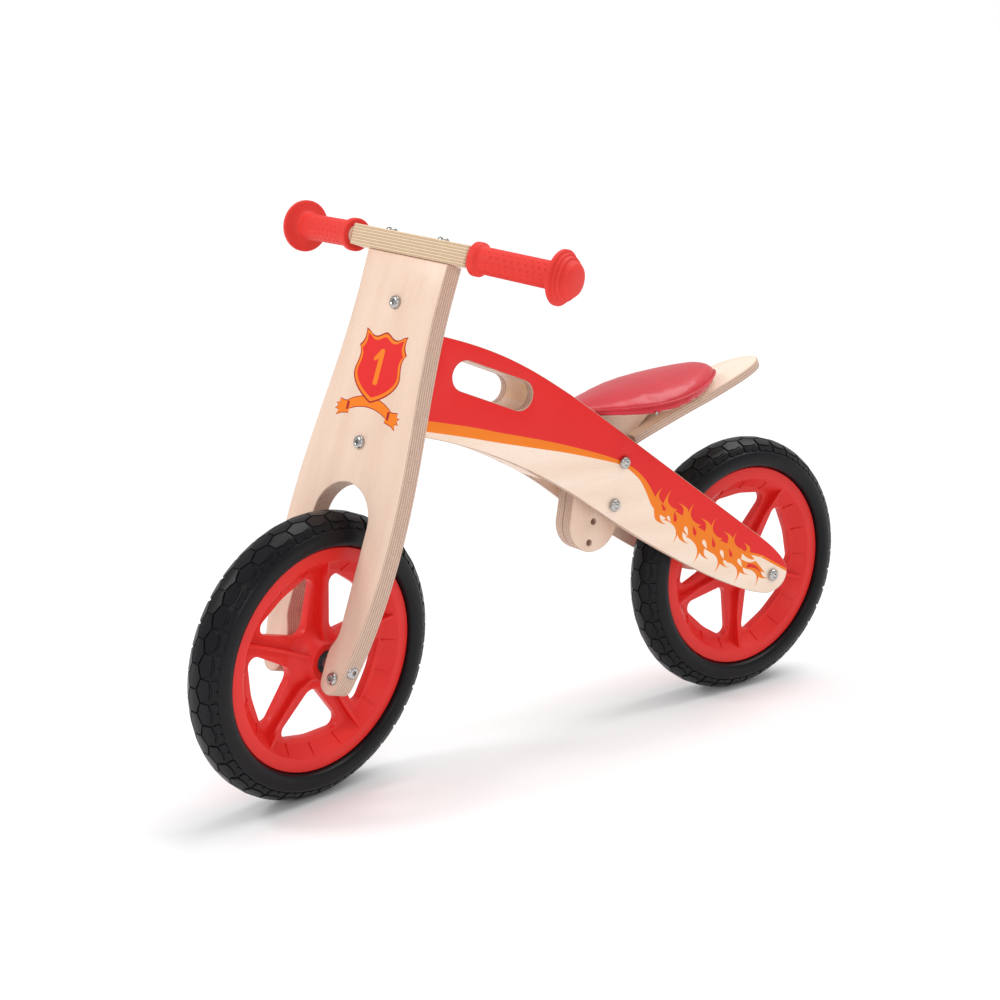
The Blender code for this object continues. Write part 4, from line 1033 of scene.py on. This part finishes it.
def ribbon_shapes():
    """A plain ribbon under the shield whose two tails end in flame tips."""
    found = []
    for grow, value in ((0.0009, 5), (0.0, 4)):
        for way in (1, -1):
            tail_shape = [(0.0250, 0.2480 + grow), (0.0330, 0.2470 + grow), (0.0400, 0.2478 + grow),
                          (0.0385 + grow, 0.2445), (0.0432 + grow, 0.2435), (0.0398 + grow, 0.2408),
                          (0.0432 + grow, 0.2372), (0.0385, 0.2378 - grow), (0.0410, 0.2320 - grow),
                          (0.0345, 0.2352 - grow), (0.0250, 0.2370 - grow)]
            found.append(([(way * y, s) for y, s in tail_shape], value))
        top = bezier((0.0295, 0.2480), (0.012, 0.2590), (-0.012, 0.2590), (-0.0295, 0.2480), 14)
        top = [(0.0295, 0.2480)] + top
        low = [(y, s - 0.0095) for y, s in reversed(top)]
        found.append(([(y, s + grow) for y, s in top] + [(y, s - grow) for y, s in low], value))
    found.append(([(0.0295, 0.2480), (0.0262, 0.2470), (0.0262, 0.2400), (0.0295, 0.2385)], 5))
    found.append(([(-0.0295, 0.2480), (-0.0262, 0.2470), (-0.0262, 0.2400), (-0.0295, 0.2385)], 5))
    return found


NUMERAL = [(-0.0030, 0.3025), (-0.0030, 0.2700), (-0.0016, 0.2686), (0.0016, 0.2686), (0.0030, 0.2700),
           (0.0030, 0.2942), (0.0080, 0.2912), (0.0094, 0.2928), (0.0090, 0.2946), (0.0016, 0.3038),
           (-0.0014, 0.3042)]
SHIELD = ribbon_shapes() + [(shield(1.0), 5), (shield(0.955), 4), (shield(0.865), 3), (NUMERAL, 4)]
fork_holes = [arc((0, s), 0.0033, 0, 345, 23) for s in EYE_BOLTS]
fork_holes += [arc((way * FOOT_SCREW[0], FOOT_SCREW[1]), 0.0028, 0, 345, 23) for way in (-1, 1)]


def fork_place(u, v, w):
    return STEERING @ Vector((BOARD_FRONT + w, u, v))


def grain_up(obj):
    """Turns a board's grain along its second coordinate."""
    layer = obj.data.attributes["board"]
    for item in layer.data:
        u, v, w = item.vector
        item.vector = (v, u, w)
    return obj


grain_up(board("fork_blade", fork_outline(), fork_holes, 0.0, 0.020, fork_place, "fork",
               [BIRCH, BIRCH, PLY, RED_PAINT, ORANGE_PAINT, DARK_PAINT], SHIELD, replaces=("fork_board",),
               slot="birch", soft=0.0008))


# Handlebar board and grips

bar_corners = [(-BAR_HALF, BAR_X - BAR_DEPTH_HALF), (-BAR_HALF, BAR_X + BAR_DEPTH_HALF),
               (BAR_HALF, BAR_X + BAR_DEPTH_HALF), (BAR_HALF, BAR_X - BAR_DEPTH_HALF)]
bar_holes = [arc((way * BAR_BOLT, BAR_X), 0.0028, 0, 345, 23) for way in (-1, 1)]


def bar_place(u, v, w):
    return STEERING @ Vector((v, u, BAR_LOW + BAR_THICK - w))


board("handlebar_plank", rounded(bar_corners, (0.003,) * 4, 6), bar_holes, 0.0, BAR_THICK, bar_place, "fork",
      [BIRCH, BIRCH, BAR_PLY], replaces=("handlebar_board",), slot="birch", soft=0.0010)


def board_places(obj, along, across, through):
    """Gives a plain mesh board coordinates along three axes."""
    axes = [Vector(a) for a in (along, across, through)]
    layer = obj.data.attributes.new("board", "FLOAT_VECTOR", "POINT")
    low = min(v.co.dot(axes[2]) for v in obj.data.vertices)
    for vert, item in zip(obj.data.vertices, layer.data):
        item.vector = (vert.co.dot(axes[0]), vert.co.dot(axes[1]), vert.co.dot(axes[2]) - low)


def grip_radius(along):
    """Radius of a grip at a distance from its collar's end."""
    profile = [(0.0, 0.0152), (0.0006, 0.0161), (0.0015, 0.0163), (0.0065, 0.0163), (0.0074, 0.0160),
               (0.0092, 0.0140), (0.0105, 0.0131), (0.0120, 0.0129), (0.0900, 0.0131), (0.0925, 0.0144),
               (0.0940, 0.0172), (0.0948, 0.0230), (0.0951, 0.0252), (0.0958, 0.0260), (0.0984, 0.0260),
               (0.0990, 0.0255), (0.0992, 0.0236), (0.0998, 0.0230), (0.1020, 0.0230), (0.1026, 0.0225),
               (0.1028, 0.0210), (0.1034, 0.0205), (0.1058, 0.0205), (0.1064, 0.0200), (0.1066, 0.0178),
               (0.1074, 0.0173), (0.1104, 0.0166), (0.1128, 0.0145), (0.1141, 0.0110), (0.1148, 0.0060),
               (0.1150, 0.0)]
    for (a, ra), (b, rb) in zip(profile, profile[1:]):
        if along <= b:
            return ra + (rb - ra) * (along - a) / (b - a)
    return 0.0


GRIP_SWEEP = math.radians(9.7)
DIMPLE_PITCH = 0.0078


def grip(label, way):
    """A rubber grip: collar, dimpled body, stepped flange and domed end."""
    matrix = (STEERING @ Matrix.Translation((BAR_X, way * BAR_HALF, BAR_LOW + BAR_THICK / 2))
              @ Matrix.Rotation(-way * GRIP_SWEEP, 4, "Z"))
    clear = BAR_DEPTH_HALF * math.sin(GRIP_SWEEP) + GAP
    stops = [0.0, 0.0003, 0.0006, 0.0015, 0.0040, 0.0065, 0.0070, 0.0074, 0.0083, 0.0092, 0.0098, 0.0105,
             0.0112, 0.0120]
    stops += [0.0120 + 0.0780 * k / 116 for k in range(1, 117)]
    stops += [0.0912, 0.0925, 0.0933, 0.0940, 0.0948, 0.0951, 0.0954, 0.0958, 0.0984, 0.0987, 0.0990, 0.0992,
              0.0998, 0.1020, 0.1023, 0.1026, 0.1028, 0.1034, 0.1058, 0.1061, 0.1064, 0.1066, 0.1074, 0.1090,
              0.1104, 0.1118, 0.1128, 0.1136, 0.1141, 0.1145, 0.1148]
    steps = 144
    bm = bmesh.new()
    rows = []
    for along in stops:
        radius = grip_radius(along)
        row = []
        for k in range(steps):
            angle = 2 * math.pi * k / steps
            r = radius
            if 0.0150 < along < 0.0890:
                sector = (angle / (2 * math.pi) * 8) % 1.0
                lane = 0 if sector < 0.5 else 1
                across = (sector % 0.5 - 0.25) / 8 * 2 * math.pi * radius
                start = 0.0195 if lane == 0 else 0.0195 + 0.00435 * (int(angle / (2 * math.pi) * 8) % 2)
                dimple = round((along - start) / DIMPLE_PITCH)
                if 0 <= dimple <= 8:
                    far = math.hypot(along - start - dimple * DIMPLE_PITCH, across)
                    r -= 0.0009 * max(0.0, 1 - (far / 0.0018) ** 2)
                    r += 0.00008 * math.exp(-((far - 0.0023) / 0.0007) ** 2)
            place = along + (clear if along < 0.07 else clear * (0.09 - along) / 0.02 if along < 0.09 else 0)
            row.append(bm.verts.new(matrix @ Vector((r * math.cos(angle), way * place, r * math.sin(angle)))))
        rows.append(row)
    for inner, depth in ((0.0145, 0.0), (0.0103, 0.0008), (0.0103, 0.0300)):
        angles = [2 * math.pi * k / steps for k in range(steps)]
        spots = [(inner * math.cos(a), way * (depth + clear), inner * math.sin(a)) for a in angles]
        rows.insert(0, [bm.verts.new(matrix @ Vector(spot)) for spot in spots])
    for first, second in zip(rows, rows[1:]):
        for k in range(steps):
            bm.faces.new((first[k], first[(k + 1) % steps], second[(k + 1) % steps], second[k]))
    bm.faces.new(rows[0])
    bm.faces.new(rows[-1])
    make(label + "_rubber_grip", bm, [GRIP_RED], "fork", ("grip_" + label,), "grip_red", 42)
    ends = [(0.0, way * 0.0005), (0.0098, way * 0.0005), (0.0098, way * 0.0860), (0.0, way * 0.0860)]
    rod = make(label + "_bar_tongue", turned(ends, "y", 32, matrix), [BIRCH], "fork", slot="birch")
    board_places(rod, (0, 1, 0), (1, 0, 0), (0, 0, 1))


grip("left", -1)
grip("right", 1)


# Seat post boards, tail board and the small wooden pieces

def saddle_bottom(x):
    """Height of the seat board's top, a shallow cradle about the post."""
    return POST_Z + SADDLE_HEIGHT + 0.96 * (x - POST_X + 0.010) ** 2


def post_outline():
    """Outline (x, z) of a seat post board, as its model has it."""
    centre = (-0.070, -0.0015)
    found = [post(centre[0] + b, centre[1] + a) for a, b in arc((0, 0), 0.032, 0, -180, 30)]
    front_x, rear_x = POST_X - 0.038, POST_X + 0.075
    found.append(post(-0.040, -0.0365))
    crest = (front_x, saddle_bottom(front_x) - GAP)
    found += bezier(found[-1], post(-0.005, -0.0390), (crest[0] + 0.016, crest[1] - 0.024), crest, 12)
    for k in range(1, 13):
        x = front_x + (rear_x - front_x) * k / 12
        found.append((x, saddle_bottom(x) - GAP))
    waist = post(SADDLE_HEIGHT - 0.0213, 0.0280)
    found += bezier(found[-1], (rear_x - 0.018, found[-1][1] - 0.012), (waist[0] + 0.004, waist[1] + 0.009),
                    waist, 12)
    return found + bezier(waist, post(0.018, 0.0300), post(0.012, 0.0375), post(0, 0.0375), 8)


post_holes = [arc(post(up, -0.0015 if up < -0.046 else 0), 0.0033, 0, 345, 23)
              for up in (0, -0.046, -0.069, -0.092)]
for label, way in (("left", -1), ("right", 1)):

    def post_place(u, v, w, way=way):
        return Vector((u, way * (GAP / 2 + 0.012 - w), v))

    grain_up(board(label + "_post_board", post_outline(), post_holes, 0.0, 0.012, post_place, "frame",
                   [BIRCH, BIRCH, PLY], replaces=("seat_post_" + label,), slot="birch"))


TAIL_THICK, TAIL_LENGTH = 0.0095, 0.201
TAIL_SEAT = Matrix.Translation((POST_X + 0.0279, 0, POST_Z + SADDLE_HEIGHT - 0.0353)) @ Matrix.Rotation(
    -math.radians(22.5), 4, "Y")
tail_side = [(0, 0.0248), (0.05, 0.0285), (0.10, 0.0310)]
tail_side += bezier((0.10, 0.0310), (0.145, 0.0310), (TAIL_LENGTH, 0.02325), (TAIL_LENGTH, 0), 26)
tail_outline = tail_side + [(x, -y) for x, y in reversed(tail_side[:-1])]
strips = [((TAIL_LENGTH * k / 24, -0.1), (TAIL_LENGTH * k / 24, 0.1)) for k in range(1, 24)]


def tail_place(u, v, w):
    return TAIL_SEAT @ Vector((u, v, TAIL_THICK - w - 0.356 * u * u))


board("tail_plank", tail_outline, [], 0.0, TAIL_THICK, tail_place, "frame", [PALE_BIRCH, BIRCH, PLY],
      lines=strips, replaces=("tail_board",), slot="birch", soft=0.0009)


def wooden(node, along, across, through, soft=0.0005, edge=PLY):
    """A smooth copy of a small wooden piece with board coordinates along the given axes."""

    def pick(face):
        return 1 if abs(face.normal.dot(Vector(through))) < 0.6 else 0

    obj = copied(node, [BIRCH, edge], "frame", pick, soft=soft)
    board_places(obj, along, across, through)


wooden("head_block", (1, 0, 0), (0, 1, 0), (0, 0, 1), 0.0, WARM_BIRCH)
wooden("saddle_base", (1, 0, 0), (0, 1, 0), (0, 0, 1), 0.0)
wooden("saddle_rest", (1, 0, 0), (0, 1, 0), (0, 0, 1))


# Saddle: a padded vinyl cover with a folded rim

NOSE_X, SADDLE_LENGTH, SADDLE_WIDE = POST_X - 0.079, 0.231, 0.057
SADDLE_WALL, MOST_SWELL, REAR_LIFT, TACK_SHARE = 0.0095, 0.005, 0.0030, 0.47


def leaf(share):
    """Half width of the saddle at a share of its length from the nose."""
    nose = 0.0055 * min(1.0, math.sqrt(share / 0.04)) * (1 - share) ** 6
    return nose + SADDLE_WIDE * math.sin(math.pi * share ** 1.23) ** (1.35 - 0.75 * share)


def wall_height(share):
    """Height of the saddle's upright edge, lower where the saddle is narrow."""
    return SADDLE_WALL * min(1.0, (leaf(share) / SADDLE_WIDE) ** 0.4)


def pad():
    """The stuffed cover: swollen by a cloth pass, its underside held flat on the base."""
    bm = bmesh.new()
    bm.from_mesh(frame["nodes"]["saddle_pad"].data)
    bmesh.ops.remove_doubles(bm, verts=bm.verts, dist=2e-6)
    obj = make("saddle_cushion", bm, [VINYL], None, angle=60)
    remesh = obj.modifiers.new("even", "REMESH")
    remesh.mode, remesh.voxel_size, remesh.use_smooth_shade = "VOXEL", 0.0030, True
    baked(obj)
    smooth = obj.modifiers.new("calm", "SMOOTH")
    smooth.factor, smooth.iterations = 0.5, 3
    baked(obj)
    start = [v.co.copy() for v in obj.data.vertices]
    held = obj.vertex_groups.new(name="held")
    for vert in obj.data.vertices:
        above = vert.co.z - saddle_bottom(vert.co.x)
        if above < SADDLE_WALL:
            held.add([vert.index], 1.0, "REPLACE")
    cloth = obj.modifiers.new("cloth", "CLOTH")
    cloth.settings.quality = 6
    cloth.settings.mass = 0.25
    cloth.settings.tension_stiffness = cloth.settings.compression_stiffness = 22
    cloth.settings.bending_stiffness = 2.0
    cloth.settings.use_pressure = True
    cloth.settings.uniform_pressure_force = 4.0
    cloth.settings.vertex_group_mass = "held"
    cloth.settings.effector_weights.gravity = 0.0
    cloth.point_cache.frame_start, cloth.point_cache.frame_end = 1, 20
    for number in range(1, 21):
        scene.frame_set(number)
    baked(obj)
    scene.frame_set(1)
    for vert, was in zip(obj.data.vertices, start):
        move = vert.co - was
        if move.length > MOST_SWELL:
            vert.co = was + move.normalized() * MOST_SWELL
    for vert in obj.data.vertices:
        share = min(1.0, max(0.0, (vert.co.x - NOSE_X) / SADDLE_LENGTH))
        above = min(1.0, max(0.0, (vert.co.z - saddle_bottom(vert.co.x) - SADDLE_WALL) / 0.006))
        vert.co.z += REAR_LIFT * above * share * share
    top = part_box("saddle_pad")[1].z + 0.004
    for vert in obj.data.vertices:
        vert.co.z = min(vert.co.z, top)
    finer = obj.modifiers.new("finer", "SUBSURF")
    finer.levels = finer.render_levels = 1
    baked(obj)
    obj.data.materials.clear()
    obj.data.materials.append(VINYL)
    obj.data.shade_smooth()
    settle(obj, "frame", ("saddle_pad",))


def sweep(path, radius, steps=10):
    """A closed bead along a closed path."""
    bm = bmesh.new()
    rows, count = [], len(path)
    for k, here in enumerate(path):
        way = (path[(k + 1) % count] - path[k - 1]).normalized()
        side = way.cross(Vector((0, 0, 1))).normalized()
        up = side.cross(way)
        rows.append([bm.verts.new(here + (side * math.cos(a) + up * math.sin(a)) * radius)
                     for a in (2 * math.pi * i / steps for i in range(steps))])
    for k in range(count):
        first, second = rows[k], rows[(k + 1) % count]
        for i in range(steps):
            bm.faces.new((first[i], first[(i + 1) % steps], second[(i + 1) % steps], second[i]))
    return bm


def rim_bead():
    """The folded edge of the cover, a thin bead round the top of the wall."""
    shares = [0.02 + 0.965 * k / 70 for k in range(71)]
    side = []
    for share in shares:
        x = NOSE_X + SADDLE_LENGTH * share
        side.append(Vector((x, leaf(share) * 0.985, saddle_bottom(x) + wall_height(share))))
    path = side + [Vector((p.x, -p.y, p.z)) for p in reversed(side)]
    make("saddle_rim_fold", sweep(path, 0.0013), [VINYL], "frame", slot="vinyl_red", angle=70)


def tack(name, way):
    """A domed upholstery tack in the saddle's side."""
    x = NOSE_X + SADDLE_LENGTH * TACK_SHARE
    dome = [(0.0, 0.0016), (0.0011, 0.0012), (0.0018, 0.0003), (0.0018, -0.0004), (0.0, -0.0004)]
    matrix = (Matrix.Translation((x, way * leaf(TACK_SHARE) * 0.995, saddle_bottom(x) + 0.0012))
              @ Matrix.Rotation(-way * math.pi / 2, 4, "X"))
    make(name, turned(dome, "z", 24, matrix), [CHROME], "frame", slot="steel", angle=50)


pad()
rim_bead()
for label, way in (("left", -1), ("right", 1)):
    tack("saddle_tack_%s_1" % label, way)


# Floor, light and camera

floor_mesh = bmesh.new()
bmesh.ops.create_grid(floor_mesh, x_segments=1, y_segments=1, size=60.0)
floor_finish = Finish("pale_floor", Base_Color=(0.93, 0.93, 0.935), Roughness=0.8, Specular_IOR_Level=0.2)
floor = make("studio_floor", floor_mesh, [floor_finish.material], None)

world = bpy.data.worlds.new("studio")
scene.world = world
world.use_nodes = True
backdrop = world.node_tree.nodes["Background"]
backdrop.inputs[0].default_value = (1.0, 1.0, 1.0, 1.0)
# Seen directly the backdrop is white; as a light it is dimmer
seen, glow = world.node_tree.nodes.new("ShaderNodeLightPath"), world.node_tree.nodes.new("ShaderNodeMapRange")
glow.inputs["To Min"].default_value, glow.inputs["To Max"].default_value = 0.66, 1.0
world.node_tree.links.new(seen.outputs["Is Camera Ray"], glow.inputs["Value"])
world.node_tree.links.new(glow.outputs["Result"], backdrop.inputs[1])


def soft_light(name, place, aim, size, power):
    """A round area light turned towards a point."""
    data = bpy.data.lights.new(name, "AREA")
    data.shape, data.size, data.energy = "DISK", size, power
    lamp = bpy.data.objects.new(name, data)
    scene.collection.objects.link(lamp)
    lamp.location = place
    lamp.rotation_euler = (Vector(aim) - Vector(place)).to_track_quat("-Z", "Y").to_euler()


soft_light("strip", (-1.5, 0.5, 1.5), (-0.1, 0.0, 0.15), 0.5, 9)
soft_light("fill", (-1.2, -2.1, 1.5), (0.0, 0.0, 0.25), 0.9, 7)
sun = bpy.data.lights.new("overhead", "SUN")
sun.energy, sun.angle = 1.75, math.radians(42)
overhead = bpy.data.objects.new("overhead", sun)
scene.collection.objects.link(overhead)
overhead.rotation_euler = Vector((-0.50, 0.02, -1.0)).to_track_quat("-Z", "Y").to_euler()
scene.view_settings.view_transform = "Standard"

yaw, pitch = math.radians(54.218), math.radians(14.042)
forward = Vector((math.cos(yaw) * math.cos(pitch), math.sin(yaw) * math.cos(pitch), -math.sin(pitch)))
right = forward.cross(Vector((0, 0, 1))).normalized()
up = right.cross(forward)
lens = bpy.data.cameras.new("camera")
lens.lens, lens.sensor_width, lens.sensor_fit = 69.04, 36.0, "HORIZONTAL"
camera = bpy.data.objects.new("camera", lens)
scene.collection.objects.link(camera)
pose = Matrix((right, up, -forward)).transposed().to_4x4()
pose.translation = (-1.1607, -1.5427, 0.7411)
camera.matrix_world = pose
scene.camera = camera
